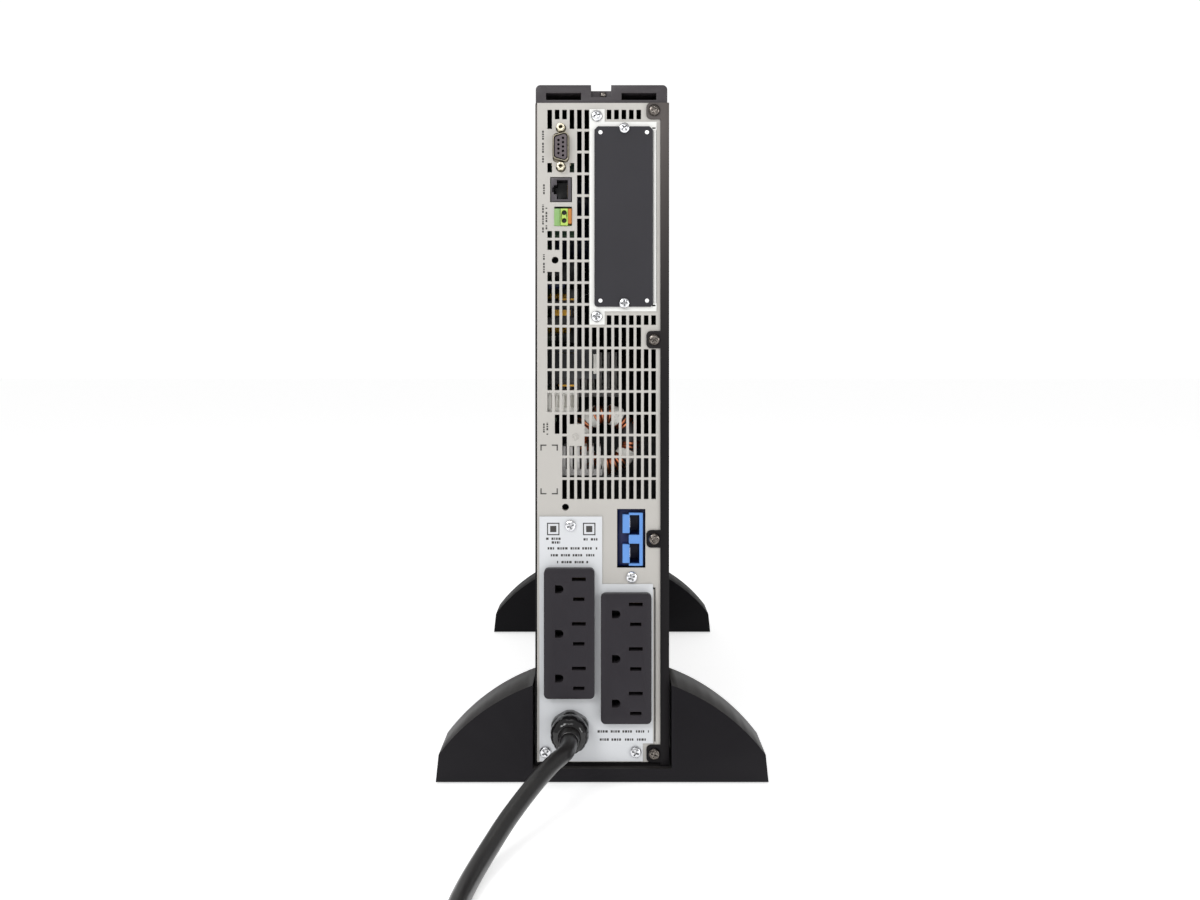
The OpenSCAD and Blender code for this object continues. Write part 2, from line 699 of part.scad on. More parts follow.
module battery_socket() {
    left = socket_x - socket_w / 2;
    color([0.16, 0.26, 0.6]) difference() {
        union() {
            span([left + 0.3, left + socket_w - 0.3], [ry + socket_deep, socket_y[1]],
                [socket_z - socket_h / 2 + 0.3, socket_z + socket_h / 2 - 0.3]);
            for (s = [-1, 1]) {
                z0 = socket_z + s * pole_dz;
                span([left + 3.5, left + 8.1], [socket_y[0], ry + socket_deep + 1], [z0 - 6.2, z0 + 5.8]);
                span([cavity_x[0], cavity_x[1] + 2.2], [socket_y[0], ry + socket_deep + 1],
                    s > 0 ? [z0 + 5.4, z0 + 6.8] : [z0 - 8, z0 - 6.6]);
            }
            span([cavity_x[1], cavity_x[1] + 2.2], [socket_y[0], ry + socket_deep + 1],
                [socket_z - pole_dz - 8, socket_z + pole_dz + 6.8]);
            span([cavity_x[0], cavity_x[1] + 1], [socket_y[0], ry + socket_deep + 1],
                [socket_z - 3.4, socket_z + 2.2]);
        }
        for (s = [-1, 1])
            span(cavity_x, [ry + 1, ry + 20], s > 0 ? [socket_z + 2.2, socket_z + pole_dz + 5.4]
                : [socket_z - pole_dz - 6.6, socket_z - 3.4]);
    }
}

module battery_socket_contacts() {
    color([0.86, 0.87, 0.9]) for (s = [-1, 1])
        span([cavity_x[0], cavity_x[0] + 0.9], [ry + 3, ry + 20],
            [socket_z + s * pole_dz - 3, socket_z + s * pole_dz + 3]);
}

// Cord gland: hexagon, tapering nose with grooves, and a lock nut inside

module cord_gland() {
    nose = gland_out - frame_t - 6;
    color([0.13, 0.13, 0.14]) translate([gland_x, ry - frame_t, gland_z]) rotate([90, 0, 0])
        difference() {
            union() {
                cylinder(h = 6, r = gland_af / 2 / cos(30), $fn = 6);
                translate([0, 0, 6]) cylinder(h = nose, r1 = gland_af / 2 - 0.6, r2 = cord_d / 2 + 2.2);
                translate([0, 0, -13 - frame_t]) cylinder(h = 13 + frame_t, r = gland_thread_r);
            }
            translate([0, 0, -20]) cylinder(h = 60, r = cord_d / 2 + hair);
            for (k = [0 : 2]) translate([0, 0, 9 + 4.6 * k]) rotate_extrude()
                translate([gland_af / 2 - 2.4 - 1.5 * k, 0]) square([8, 1.6]);
        }
}

module gland_nut() {
    color([0.15, 0.15, 0.16]) translate([gland_x, ry + sheet + 6, gland_z]) rotate([90, 0, 0])
        difference() {
            cylinder(h = 6, r = 14, $fn = 6);
            translate([0, 0, -1]) cylinder(h = 8, r = gland_thread_r + 0.05);
        }
}

// Mains cord

function unit(v) = v / norm(v);
function way(p, i) = i == 0 ? unit(p[1] - p[0])
    : i == len(p) - 1 ? unit(p[i] - p[i - 1]) : unit(p[i + 1] - p[i - 1]);

// A tube swept along route points, with one ring of points at each
module tube(p, d, sides = 10) {
    rings = [for (i = [0 : len(p) - 1])
        let (t = way(p, i), a = unit(cross(t, [0, 0, 1])), b = cross(a, t))
            for (k = [0 : sides - 1])
                p[i] + d / 2 * (cos(360 * k / sides) * a + sin(360 * k / sides) * b)];
    n = len(p);
    skin = [for (i = [0 : n - 2], k = [0 : sides - 1])
        [i * sides + k, i * sides + (k + 1) % sides,
            (i + 1) * sides + (k + 1) % sides, (i + 1) * sides + k]];
    polyhedron(rings, concat([[for (k = [sides - 1 : -1 : 0]) k]], skin,
        [[for (k = [0 : sides - 1]) (n - 1) * sides + k]]));
}

module power_cord() { color([0.12, 0.12, 0.13]) tube(cord_route, cord_d); }

module cord_tail() { color([0.12, 0.12, 0.13]) tube(tail_route, cord_d); }

module cord_coil() {
    color([0.12, 0.12, 0.13]) translate([coil_c[0], coil_c[1], coil_lift])
        rotate_extrude($fn = 64) translate([coil_in, 0]) square([coil_out - coil_in, coil_h]);
}

module coil_tie() {
    tie_w = 16;
    tie_t = coil_lift;
    slack = 1;
    color([0.2, 0.2, 0.22]) translate([coil_c[0] + coil_in, coil_c[1], coil_lift]) difference() {
        translate([-tie_t - slack, -tie_w / 2, -tie_t])
            cube([coil_out - coil_in + 2 * tie_t + 2 * slack, tie_w, coil_h + 2 * tie_t]);
        translate([-slack, -tie_w, 0]) cube([coil_out - coil_in + 2 * slack, 2 * tie_w, coil_h]);
    }
}

module power_plug() {
    color([0.14, 0.14, 0.15]) translate([plug_x, plug_y, plug_z]) rotate([0, 90, 0]) {
        rotate_extrude() polygon([[0, 0], [cord_d / 2 + 1, 0], [cord_d / 2 + 3.2, 18], [0, 18]]);
        hull() {
            translate([0, 0, 18]) cylinder(h = 1, r = 9);
            translate([0, 0, 27]) linear_extrude(2) soft_rect(27, 31, 6);
            translate([0, 0, plug_len - 3]) linear_extrude(3) soft_rect(28.4, 32, 7);
        }
    }
}

// Ground pin, upright live blade and flat neutral blade, in the plug's face
module plug_blades() {
    front = plug_x + plug_len;
    color([0.8, 0.8, 0.78]) translate([front, plug_y, plug_z]) rotate([0, 90, 0]) {
        translate([-6.2, 0, 0]) cylinder(h = 21, r = pin_r);
        translate([6.2 - 3.2, -6.35 - 0.75, 0]) cube([6.4, 1.5, 17]);
        translate([6.2 - 0.75, 6.35 - 3.2, 0]) cube([1.5, 6.4, 17]);
    }
}

// Stabiliser feet

foot_half = body_w / 2 + foot_reach;
pocket = body_w / 2 + foot_gap;
foot_draft = 1.9;
foot_a = foot_half - foot_draft;
foot_cz = (foot_a * foot_a - pocket * pocket + foot_end_h * foot_end_h
    - foot_shoulder_h * foot_shoulder_h) / (2 * (foot_end_h - foot_shoulder_h));
foot_r = norm([foot_a, foot_end_h - foot_cz]);
foot_ys = [ry - foot_out, fy - foot_inset - foot_len];
foot_wall = 3;
pad_r = 7;
pad_x = foot_half - 16;
pad_post_r = pad_r + 2;
pad_in_x = pocket + pad_post_r + 2;

module half_moon(shrink, low) {
    slope = foot_draft / foot_end_h;
    top = foot_shoulder_h + 10;
    intersection() {
        translate([0, foot_cz]) circle(foot_r - shrink, $fn = 160);
        polygon([[-foot_half + shrink + slope * low, low], [foot_half - shrink - slope * low, low],
            [foot_half - shrink - slope * top, top], [-foot_half + shrink + slope * top, top]]);
    }
}

module pad_places(y) {
    for (x = [-pad_x, -pad_in_x, pad_in_x, pad_x]) translate([x, y + foot_len / 2, 0]) children();
}

module foot(y) {
    color([0.15, 0.14, 0.16]) difference() {
        plate_at(y, foot_len) difference() {
            half_moon(0, pad_lift);
            rect([-pocket, pocket], [foot_web, foot_shoulder_h + 20]);
        }
        for (s = [-1, 1]) difference() {
            plate_at(y + foot_wall, foot_len - 2 * foot_wall) intersection() {
                half_moon(foot_wall, pad_lift - 1);
                translate([s * (pocket + foot_wall + foot_half), 0])
                    square([2 * foot_half, 4 * foot_shoulder_h], center = true);
            }
            for (x = [pad_in_x, pad_x]) translate([s * x, y + foot_len / 2, 0])
                cylinder(h = foot_shoulder_h * 2, r = pad_post_r);
        }
        pad_places(y) cylinder(h = 2 * pad_lift, r = pad_r + hair);
    }
}

module rear_foot() { foot(foot_ys[0]); }

module front_foot() { foot(foot_ys[1]); }

module foot_pads() {
    color([0.1, 0.1, 0.1]) for (y = foot_ys) pad_places(y) cylinder(h = 2 * pad_lift, r = pad_r);
}

// Front bezel with louvres, display recess and battery doorway

louvre_h = 5;
louvre_dz = 11;
rib_back = 8;
rib_t = 1.6;
rib_over = 1.2;

module bezel_louvres(w, h) {
    low = disc_z + disc_r + 12;
    high = zt - 10;
    for (k = [0 : floor((high - low) / louvre_dz)])
        translate([0, low + k * louvre_dz]) square([w, h], center = true);
}

module front_bezel() {
    low = fascia_z[1] + move_gap;
    high = zt + cap_h;
    color([0.16, 0.16, 0.17]) difference() {
        plate_at(fy, bezel_d) translate([0, (zb + high) / 2]) soft_rect(body_w, high - zb, 5);
        plate_at(fy - 1, bezel_d - wall + 1) difference() {
            translate([0, (zb + high) / 2]) soft_rect(body_w - 2 * wall, high - zb - 2 * wall, 3);
            translate([0, disc_z]) circle(disc_r + wall + gap);
            rect([xl, xr], [low, low + wall]);
        }
        plate_at(fy - 1, bezel_d + 2) {
            bezel_louvres(body_w - 24, louvre_h);
            rect([-drawer_half - move_gap, drawer_half + move_gap], [fascia_z[0] - move_gap, low]);
        }
        rod_y(0, disc_z, [by - disc_t - 1, by + 1], disc_r + gap);
        rod_y(0, disc_z, [fy - 1, by - disc_t + 1], boss_r + gap);
        rod_y(0, disc_z, [fy - 1, by - disc_t - 1 - wall], disc_r - 2);
    }
    color([0.16, 0.16, 0.17]) plate_at(by - wall - rib_back, rib_t)
        bezel_louvres(body_w - 2 * wall + 1, louvre_h + 2 * rib_over);
}

// Turning display with its window, lights and two buttons

module display_module() {
    color([0.24, 0.24, 0.26]) difference() {
        union() {
            rod_y(0, disc_z, [by - disc_t, by - 0.5], disc_r);
            rod_y(0, disc_z, [by - disc_t - 10, by - disc_t + 1], boss_r);
        }
        span([-17, 17], [by - 3, by], [disc_z - 4, disc_z + 16]);
        for (p = button_at) rod_y(p[0], disc_z + p[1], [by - 7, by], button_r + gap);
        for (k = [-1.5 : 1.5]) rod_y(k * 7, disc_z + 20, [by - 4, by], 1.1);
    }
}

module display_window() {
    color([0.25, 0.4, 0.5, 0.8]) span([-17, 17], [by - 3, by - 0.8], [disc_z - 4, disc_z + 16]);
}

module status_leds() {
    color([0.3, 0.85, 0.4])
        for (k = [-1.5 : 1.5]) rod_y(k * 7, disc_z + 20, [by - 4, by - 0.4], 1.1);
}

module round_button(p) {
    y = [by - 4.5, by - 0.1];
    rod_y(p[0], disc_z + p[1], [y[0], y[1] - 0.6], button_r);
    translate([p[0], y[1] - 0.6, disc_z + p[1]]) rotate([-90, 0, 0])
        cylinder(h = 0.6, r1 = button_r, r2 = button_r - 0.6);
}

module on_button() { color([0.55, 0.75, 0.55]) round_button(button_at[0]); }

module off_button() { color([0.7, 0.7, 0.7]) round_button(button_at[1]); }

// Fans

module fan_frames() {
    color([0.12, 0.12, 0.12]) for (z = fan_zs) difference() {
        plate_at(fan_y[0], fan_t) translate([0, z]) soft_rect(fan_s, fan_s, 3);
        rod_y(0, z, [fan_y[0] - 1, fan_y[1] - 4], fan_s / 2 - 2);
        plate_at(fan_y[1] - 5, 6) difference() {
            translate([0, z]) circle(fan_s / 2 - 2);
            translate([0, z]) circle(hub_r - 1);
            for (a = [45 : 90 : 315]) translate([0, z]) rotate(a)
                rect([0, fan_s / 2], [-1.8, 1.8]);
        }
        for (sx = [-1, 1], sz = [-1, 1])
            rod_y(sx * (fan_s / 2 - 4.2), z + sz * (fan_s / 2 - 4.2), [fan_y[0] - 1, fan_y[1] + 1], 2.1);
    }
    color([0.6, 0.6, 0.6]) for (z = fan_zs) rod_y(0, z, [fan_y[0] + 8, fan_y[1] - 3], axle_r);
}

module fan_rotor(z) {
    y = [fan_y[0] + 1.5, fan_y[1] - 5];
    color([0.16, 0.16, 0.16]) {
        difference() {
            rod_y(0, z, y, hub_r);
            rod_y(0, z, [fan_y[0] + 7, fan_y[1]], axle_r + axle_gap);
        }
        for (k = [0 : 6]) translate([0, (y[0] + y[1]) / 2, z]) rotate([0, k * 360 / 7, 0])
            translate([hub_r - 1, 0, 0]) rotate([38, 0, 0])
                translate([0, -0.9, -10]) cube([rotor_r - hub_r, 1.8, 20]);
    }
}

module lower_fan_rotor() { fan_rotor(fan_zs[0]); }

module upper_fan_rotor() { fan_rotor(fan_zs[1]); }

// Main board and what stands on it

module main_board() {
    color([0.2, 0.32, 0.24]) span([board_x, face_x], board_y, board_z);
    color([0.7, 0.7, 0.7]) for (y = [board_y[0] + 8, board_y[1] - 8], z = [board_z[0] + 8, board_z[1] - 8])
        translate([xl + sheet, y, z]) rotate([0, 90, 0]) cylinder(h = board_x - xl - sheet, r = 3);
}

module capacitors() {
    color([0.16, 0.2, 0.35]) for (j = [0 : 2], k = [0 : 1])
        translate([face_x, ry + 190 + j * 34, board_z[1] - 30 - k * 36]) rotate([0, 90, 0])
            cylinder(h = 42, r = 15);
}

module relays() {
    color([0.12, 0.12, 0.14]) for (k = [0 : 3])
        span([face_x, face_x + 20], [ry + 66, ry + 94], [zt - 110 - k * 22, zt - 94 - k * 22]);
}

// Two ferrite transformers with bands of yellow tape
trafo_at = [[zt - 181.5, 20], [zt - 142, 16]];

module transformers() {
    for (p = trafo_at) {
        color([0.2, 0.19, 0.2]) span([face_x, face_x + 18], [ry + 24, ry + 52], [p[0], p[0] + p[1]]);
        color([0.85, 0.62, 0.15]) for (z = [p[0] - 1.6, p[0] + p[1]])
            span([face_x + 7, face_x + 19], [ry + 22, ry + 54], [z, z + 1.6]);
    }
}

choke_at = [2, ry + 50, zt - 220];
choke_ring_r = 17.5;
choke_section_r = 7;
choke_low = choke_at[2] - choke_ring_r - choke_section_r;

module toroid_choke() {
    color([0.72, 0.4, 0.2]) translate(choke_at) rotate([90, 0, 0]) rotate_extrude()
        translate([choke_ring_r, 0]) circle(choke_section_r);
    color([0.3, 0.3, 0.3]) span([xl + sheet, choke_at[0] + 9], [choke_at[1] - 3, choke_at[1] + 3],
        [choke_low - 3.5, choke_low + 0.2]);
}

module rear_heat_sink() {
    base = [ry + 15, ry + 41];
    color([0.55, 0.56, 0.58]) {
        span([xl + sheet, xl + sheet + 16], [base[0], base[0] + 6], [bay_top - 16, bay_top + 3]);
        span([xl + sheet + 16, xl + 43], base, [bay_top - 16, bay_top - 12]);
        for (k = [0 : 5]) span([xl + 17.4 + k * 4.6, xl + 19 + k * 4.6], base, [bay_top - 12, bay_top + 3]);
    }
}

module main_heat_sink() {
    y = [ry + 190, ry + 290];
    color([0.55, 0.56, 0.58]) {
        span([face_x, face_x + 50], y, [board_z[0] + 20, board_z[0] + 26]);
        for (k = [0 : 7])
            span([face_x + 4 + k * 6, face_x + 6 + k * 6], y, [board_z[0] + 26, board_z[0] + 56]);
    }
}

module terminal_block() {
    z0 = zt - 199;
    color([0.9, 0.9, 0.88]) difference() {
        span([face_x, face_x + 20], [ry + 5, ry + 46], [z0, z0 + 13.5]);
        for (k = [0 : 3]) translate([face_x + 3 + k * 4.2, ry + 3, z0 + 3]) cube([3, 7, 8]);
    }
}

// Battery drawer: floor plate, two rails, front and back, with four blocks lying in it

module battery_drawer() {
    x1 = drawer_x + drawer_wall;
    color([0.66, 0.67, 0.68]) {
        span([drawer_x, drawer_x + sheet], drawer_y, drawer_z);
        span([drawer_x, x1], drawer_y, [drawer_z[0], drawer_z[0] + sheet]);
        span([drawer_x, x1], drawer_y, [drawer_z[1] - sheet, drawer_z[1]]);
        span([drawer_x, x1], [drawer_y[0], drawer_y[0] + sheet], drawer_z);
        difference() {
            span([drawer_x, drawer_half], [drawer_y[1] - sheet, drawer_y[1]], drawer_z);
            for (z = handle_zs) rod_y(handle_x, z, [drawer_y[1] - 3, drawer_y[1] + 1], 1.6);
        }
    }
}

module battery_blocks() {
    color([0.35, 0.36, 0.4]) for (j = [0, 1], k = [0, 1]) {
        y = drawer_y[0] + sheet + 0.5 + j * (batt_l + 0.5);
        z = drawer_z[0] + sheet + 0.5 + k * (batt_h + 0.5);
        span([drawer_x + sheet, drawer_x + sheet + batt_t], [y, y + batt_l], [z, z + batt_h]);
    }
}

handle_x = 0;
handle_zs = [fascia_grip_z - 40, fascia_grip_z + 40];
grip_depth = 12.5;
grip_r = 16.5;
handle_out = bezel_d - grip_depth - 7;

module drawer_handle() {
    y = drawer_y[1];
    color([0.15, 0.15, 0.15]) {
        span([handle_x - 8, handle_x + 8], [y + handle_out, y + handle_out + 2.5],
            [handle_zs[0] - 6, handle_zs[1] + 6]);
        for (z = handle_zs) {
            span([handle_x - 8, handle_x + 8], [y, y + handle_out + hair], [z - 6, z - 3]);
            span([handle_x - 8, handle_x + 8], [y, y + 2.5], [z - 3.1, z + 4]);
            rod_y(handle_x, z, [y - 3, y + 0.1], 1.5);
        }
    }
}

// Fascia that closes the doorway, with a finger recess and four snap legs

module bay_fascia() {
    x = [-drawer_half, drawer_half];
    color([0.18, 0.18, 0.19]) {
        difference() {
            union() {
                difference() {
                    span(x, [by - 6, by], fascia_z);
                    span([x[0] + wall, x[1] - wall], [by - 7, by - wall],
                        [fascia_z[0] + wall, fascia_z[1] - wall]);
                }
                span([-24, 24], [by - grip_depth - wall, by - wall + hair],
                    [fascia_grip_z - grip_r - 1.5, fascia_grip_z + grip_r + 1.5]);
            }
            translate([0, by + grip_r - grip_depth, fascia_grip_z]) rotate([0, 90, 0])
                cylinder(h = 40, r = grip_r, center = true);
            for (k = [-3 : 3]) if (abs(k) > 1)
                span([x[0] + 10, x[1] - 10], [by - 7, by + 1],
                    [fascia_grip_z + k * 22 - 2, fascia_grip_z + k * 22 + 2]);
        }
        for (sx = [-1, 1], sz = [-1, 1])
            span([sx * 30 - 3, sx * 30 + 3], [drawer_y[1], by - wall],
                [fascia_grip_z + sz * (batt_h - 16) - 1.5, fascia_grip_z + sz * (batt_h - 16) + 1.5]);
    }
}

base_tray();
rear_panel();
outer_cover();
cover_screws();
front_frame();
bay_divider();
top_cover();
card_frame();
card_blank_plate();
card_plate_rivets();
card_cage();
outlet_plate();
panel_screws();
outlet_block_left();
outlet_block_right();
outlet_contacts();
serial_shell();
serial_insulator();
serial_jackscrews();
data_jack();
data_jack_contacts();
epo_header();
comms_board();
battery_socket();
battery_socket_contacts();
cord_gland();
gland_nut();
power_cord();
cord_coil();
cord_tail();
coil_tie();
power_plug();
plug_blades();
rear_foot();
front_foot();
foot_pads();
front_bezel();
main_board();
capacitors();
relays();
transformers();
toroid_choke();
rear_heat_sink();
main_heat_sink();
terminal_block();
fan_frames();
epo_plug();
epo_lever();
display_module();
display_window();
status_leds();
on_button();
off_button();
lower_fan_rotor();
upper_fan_rotor();
battery_drawer();
battery_blocks();
drawer_handle();
bay_fascia();
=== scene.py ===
# %% [markdown]
# # A rackmount power supply, standing as a tower
# The steel case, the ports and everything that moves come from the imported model, at their real
# size. This lesson adds what the eye meets on a bench: paint, moulded grain, plating, wound
# copper, a mains cord of its full length, and soft studio light.

# %% Load the fixed frame
import json
import math

import bmesh
import bpy
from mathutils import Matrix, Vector


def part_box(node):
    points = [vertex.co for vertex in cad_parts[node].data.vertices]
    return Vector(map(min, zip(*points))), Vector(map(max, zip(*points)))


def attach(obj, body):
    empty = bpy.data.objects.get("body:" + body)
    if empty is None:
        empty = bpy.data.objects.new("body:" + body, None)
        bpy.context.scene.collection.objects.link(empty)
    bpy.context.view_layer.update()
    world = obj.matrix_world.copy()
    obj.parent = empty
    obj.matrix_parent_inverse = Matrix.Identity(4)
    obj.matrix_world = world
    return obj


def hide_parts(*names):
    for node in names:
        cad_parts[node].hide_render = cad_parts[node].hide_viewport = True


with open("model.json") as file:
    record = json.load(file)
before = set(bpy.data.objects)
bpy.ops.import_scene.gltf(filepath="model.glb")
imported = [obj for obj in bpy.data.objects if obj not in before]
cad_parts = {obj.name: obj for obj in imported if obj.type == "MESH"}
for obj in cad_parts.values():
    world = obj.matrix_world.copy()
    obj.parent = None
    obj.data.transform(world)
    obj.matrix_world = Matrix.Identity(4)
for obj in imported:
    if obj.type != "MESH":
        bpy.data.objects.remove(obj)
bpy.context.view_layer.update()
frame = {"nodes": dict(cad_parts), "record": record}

MM = 0.001
nodes = frame["nodes"]

# %% [markdown]
# ## Reference planes
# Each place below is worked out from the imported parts. The rear panel is the datum: the ports,
# the cord and the camera are all measured from its outer face. The gland's mouth is where the cord
# starts.

# %% Planes of the case
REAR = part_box("rear_panel")[0].y
gland_low, gland_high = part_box("cord_gland")
GLAND = Vector(((gland_low.x + gland_high.x) / 2, gland_low.y, (gland_low.z + gland_high.z) / 2))
print("rear plane", round(REAR, 4), "gland mouth", [round(x, 4) for x in GLAND])

# %% [markdown]
# ## Camera
# A catalogue view straight at the rear panel. The camera stands level, a little above the middle
# of the tower, and a small downward shift keeps the upright edges parallel where tilting the
# camera would make them lean.

# %% Place the camera
CAMERA_BACK = 0.7558
CAMERA_HEIGHT = 0.2743
def add_object(name, data):
    """An object in the scene, made from its data."""
    made = bpy.data.objects.new(name, data)
    bpy.context.scene.collection.objects.link(made)
    return made


camera_data = bpy.data.cameras.new("camera")
camera_data.lens = 35.27
camera_data.sensor_width = 36
camera_data.shift_x = -0.0018
camera_data.shift_y = -0.0805
camera = add_object("camera", camera_data)
camera.location = (0, REAR - CAMERA_BACK, CAMERA_HEIGHT)
camera.rotation_euler = (math.pi / 2, 0, 0)
bpy.context.scene.camera = camera
bpy.context.scene.view_settings.view_transform = "Standard"
print("camera stands", CAMERA_BACK, "m behind the panel")

# %% [markdown]
# ## Node helpers
# A material is a small graph, and a few helpers keep each one readable. They add a node with its
# values, do a sum or a rescaling, start a material around a Principled shader, and start or place
# a node group. A fixed number is always written on the shader's own socket.

# %% Helpers for graphs
def put(tree, kind, links=None, **values):
    """Adds a node; values set its properties or its sockets, and links feed its sockets."""
    made = tree.nodes.new(kind)
    for name, value in values.items():
        if hasattr(made, name):
            setattr(made, name, value)
        else:
            made.inputs[name.replace("_", " ").title()].default_value = value
    for name, source in (links or {}).items():
        tree.links.new(source, made.inputs[name])
    return made


def maths(tree, operation, first, second):
    """One output combined with another output or with a number."""
    number = isinstance(second, (int, float))
    links = {0: first} if number else {0: first, 1: second}
    node = put(tree, "ShaderNodeMath", links, operation=operation)
    if number:
        node.inputs[1].default_value = second
    return node.outputs[0]


def remap(tree, source, start, end, low=0.0, high=1.0):
    """Rescales an output that runs from start to end, so that it runs from low to high."""
    node = put(tree, "ShaderNodeMapRange", {0: source})
    for socket, value in zip(list(node.inputs)[1:5], (start, end, low, high)):
        socket.default_value = value
    return node.outputs[0]


def axis_of(tree, source, axis):
    """One axis, X, Y or Z, of a vector output."""
    return put(tree, "ShaderNodeSeparateXYZ", {0: source}).outputs[axis]


def bumped(tree, shader, height, strength, distance):
    """Lets an output raise the surface."""
    bump = put(tree, "ShaderNodeBump", {"Height": height}, strength=strength, distance=distance)
    tree.links.new(bump.outputs[0], shader.inputs["Normal"])


def tone(red, green, blue):
    """A screen colour from 0 to 255 as the linear colour that a shader wants."""
    shares = (red / 255, green / 255, blue / 255)
    linear = [((c + 0.055) / 1.055) ** 2.4 if c > 0.04 else c / 12.92 for c in shares]
    return (*linear, 1.0)


def new_material(name, **sockets):
    """A material with a Principled shader; sockets are its fixed numbers and colours."""
    material = bpy.data.materials.new(name)
    material.use_nodes = True
    shader = material.node_tree.nodes["Principled BSDF"]
    for label, value in sockets.items():
        shader.inputs[label.replace("_", " ")].default_value = value
    return material, material.node_tree, shader


def new_group(name, inputs, outputs):
    """An empty node group with named sockets: inputs are floats or colours with a default."""
    group = bpy.data.node_groups.new(name, "ShaderNodeTree")
    for label, default in inputs.items():
        kind = "NodeSocketColor" if isinstance(default, tuple) else "NodeSocketFloat"
        socket = group.interface.new_socket(label, in_out="INPUT", socket_type=kind)
        socket.default_value = default
    for label, kind in outputs.items():
        group.interface.new_socket(label, in_out="OUTPUT", socket_type="NodeSocket" + kind)
    return group, put(group, "NodeGroupInput"), put(group, "NodeGroupOutput")


def use(tree, group, links=None, **values):
    """Places a group in a material with its own values."""
    made = put(tree, "ShaderNodeGroup", node_tree=group)
    for label, value in values.items():
        made.inputs[label].default_value = value
    for label, source in (links or {}).items():
        tree.links.new(source, made.inputs[label])
    return made


print("graph helpers ready")

# %% [markdown]
# ## Grain
# Moulded plastic copies the texture of its mould, and powder coat flows into a low orange peel.
# Both are a fine bumpy height in the part's own space, so one group serves them: only the size of
# the grain differs. A second, slow noise tells where the surface is a shade duller.

# %% Group: grain
grain, grain_in, grain_out = new_group(
    "grain", {"Size": 0.0006, "Patch Size": 0.04}, {"Height": "Float", "Patch": "Float"})
place = put(grain, "ShaderNodeTexCoord")
fine_rate = maths(grain, "POWER", grain_in.outputs["Size"], -1)
slow_rate = maths(grain, "POWER", grain_in.outputs["Patch Size"], -1)
fine = put(grain, "ShaderNodeTexNoise", {"Vector": place.outputs["Object"], "Scale": fine_rate},
           detail=2.0, roughness=0.6)
slow = put(grain, "ShaderNodeTexNoise", {"Vector": place.outputs["Object"], "Scale": slow_rate},
           detail=3.0, roughness=0.55)
grain.links.new(fine.outputs[0], grain_out.inputs["Height"])
grain.links.new(slow.outputs[0], grain_out.inputs["Patch"])
print("group", grain.name, "has", len(grain.nodes), "nodes")

# %% [markdown]
# ## Worn edges
# Handling polishes and pales the arrises of a case. A Bevel node gives the normal that a rounded
# edge would have, and where it differs from the true normal there is an edge. Noise breaks the
# line up, because real wear is never even.

# %% Group: edge wear
edge_wear, wear_in, wear_out = new_group("edge wear", {"Radius": 0.0008, "Amount": 0.5}, {"Mask": "Float"})
rounded = put(edge_wear, "ShaderNodeBevel", {"Radius": wear_in.outputs["Radius"]}, samples=4)
geometry = put(edge_wear, "ShaderNodeNewGeometry")
alike = put(edge_wear, "ShaderNodeVectorMath", operation="DOT_PRODUCT")
edge_wear.links.new(rounded.outputs[0], alike.inputs[0])
edge_wear.links.new(geometry.outputs["Normal"], alike.inputs[1])
near_edge = remap(edge_wear, alike.outputs["Value"], 0.99, 0.75)
scuffs = put(edge_wear, "ShaderNodeTexNoise", scale=180.0, detail=4.0)
broken = maths(edge_wear, "MULTIPLY", near_edge, remap(edge_wear, scuffs.outputs[0], 0.4, 0.65))
edge_wear.links.new(maths(edge_wear, "MULTIPLY", broken, wear_in.outputs["Amount"]), wear_out.inputs["Mask"])
print("group", edge_wear.name, "has", len(edge_wear.nodes), "nodes")

# %% [markdown]
# ## Dust
# A little dust settles on whatever faces up. The object-space normal tells which way a face looks,
# and a soft noise makes the film patchy.

# %% Group: dust
dust, dust_in, dust_out = new_group("dust", {"Amount": 0.2, "Size": 0.01}, {"Mask": "Float"})
facing = put(dust, "ShaderNodeTexCoord")
upward = remap(dust, axis_of(dust, facing.outputs["Normal"], "Z"), 0.3, 1)
dust_rate = maths(dust, "POWER", dust_in.outputs["Size"], -1)
film = put(dust, "ShaderNodeTexNoise", {"Vector": facing.outputs["Object"], "Scale": dust_rate},
           detail=6.0, roughness=0.7)
settled = maths(dust, "MULTIPLY", upward, film.outputs[0])
dust.links.new(maths(dust, "MULTIPLY", settled, dust_in.outputs["Amount"]), dust_out.inputs["Mask"])
print("group", dust.name, "has", len(dust.nodes), "nodes")

# %% [markdown]
# ## Brushed lines
# Rolled and plated steel keeps fine lines from the mill. Noise stretched along one axis of the
# part gives them. Spangle, the faint crystal pattern of zinc, is a Voronoi cell pattern.

# %% Group: brushed metal
brushed, brushed_in, brushed_out = new_group(
    "brushed lines", {"Across": 6000.0, "Along": 60.0, "Spangle": 300.0},
    {"Height": "Float", "Patch": "Float"})
spot = put(brushed, "ShaderNodeTexCoord")
across_rate = brushed_in.outputs["Across"]
rates = {0: across_rate, 1: brushed_in.outputs["Along"], 2: across_rate}
stretch = put(brushed, "ShaderNodeCombineXYZ", rates)
drawn = put(brushed, "ShaderNodeVectorMath", {0: spot.outputs["Object"], 1: stretch.outputs[0]},
            operation="MULTIPLY")
lines = put(brushed, "ShaderNodeTexNoise", {"Vector": drawn.outputs[0]}, scale=1.0, detail=2.0)
cells = put(brushed, "ShaderNodeTexVoronoi", {"Vector": spot.outputs["Object"],
                                              "Scale": brushed_in.outputs["Spangle"]})
cell_tone = put(brushed, "ShaderNodeSeparateColor", {0: cells.outputs["Color"]})
brushed.links.new(lines.outputs[0], brushed_out.inputs["Height"])
brushed.links.new(cell_tone.outputs[0], brushed_out.inputs["Patch"])
print("group", brushed.name, "has", len(brushed.nodes), "nodes")

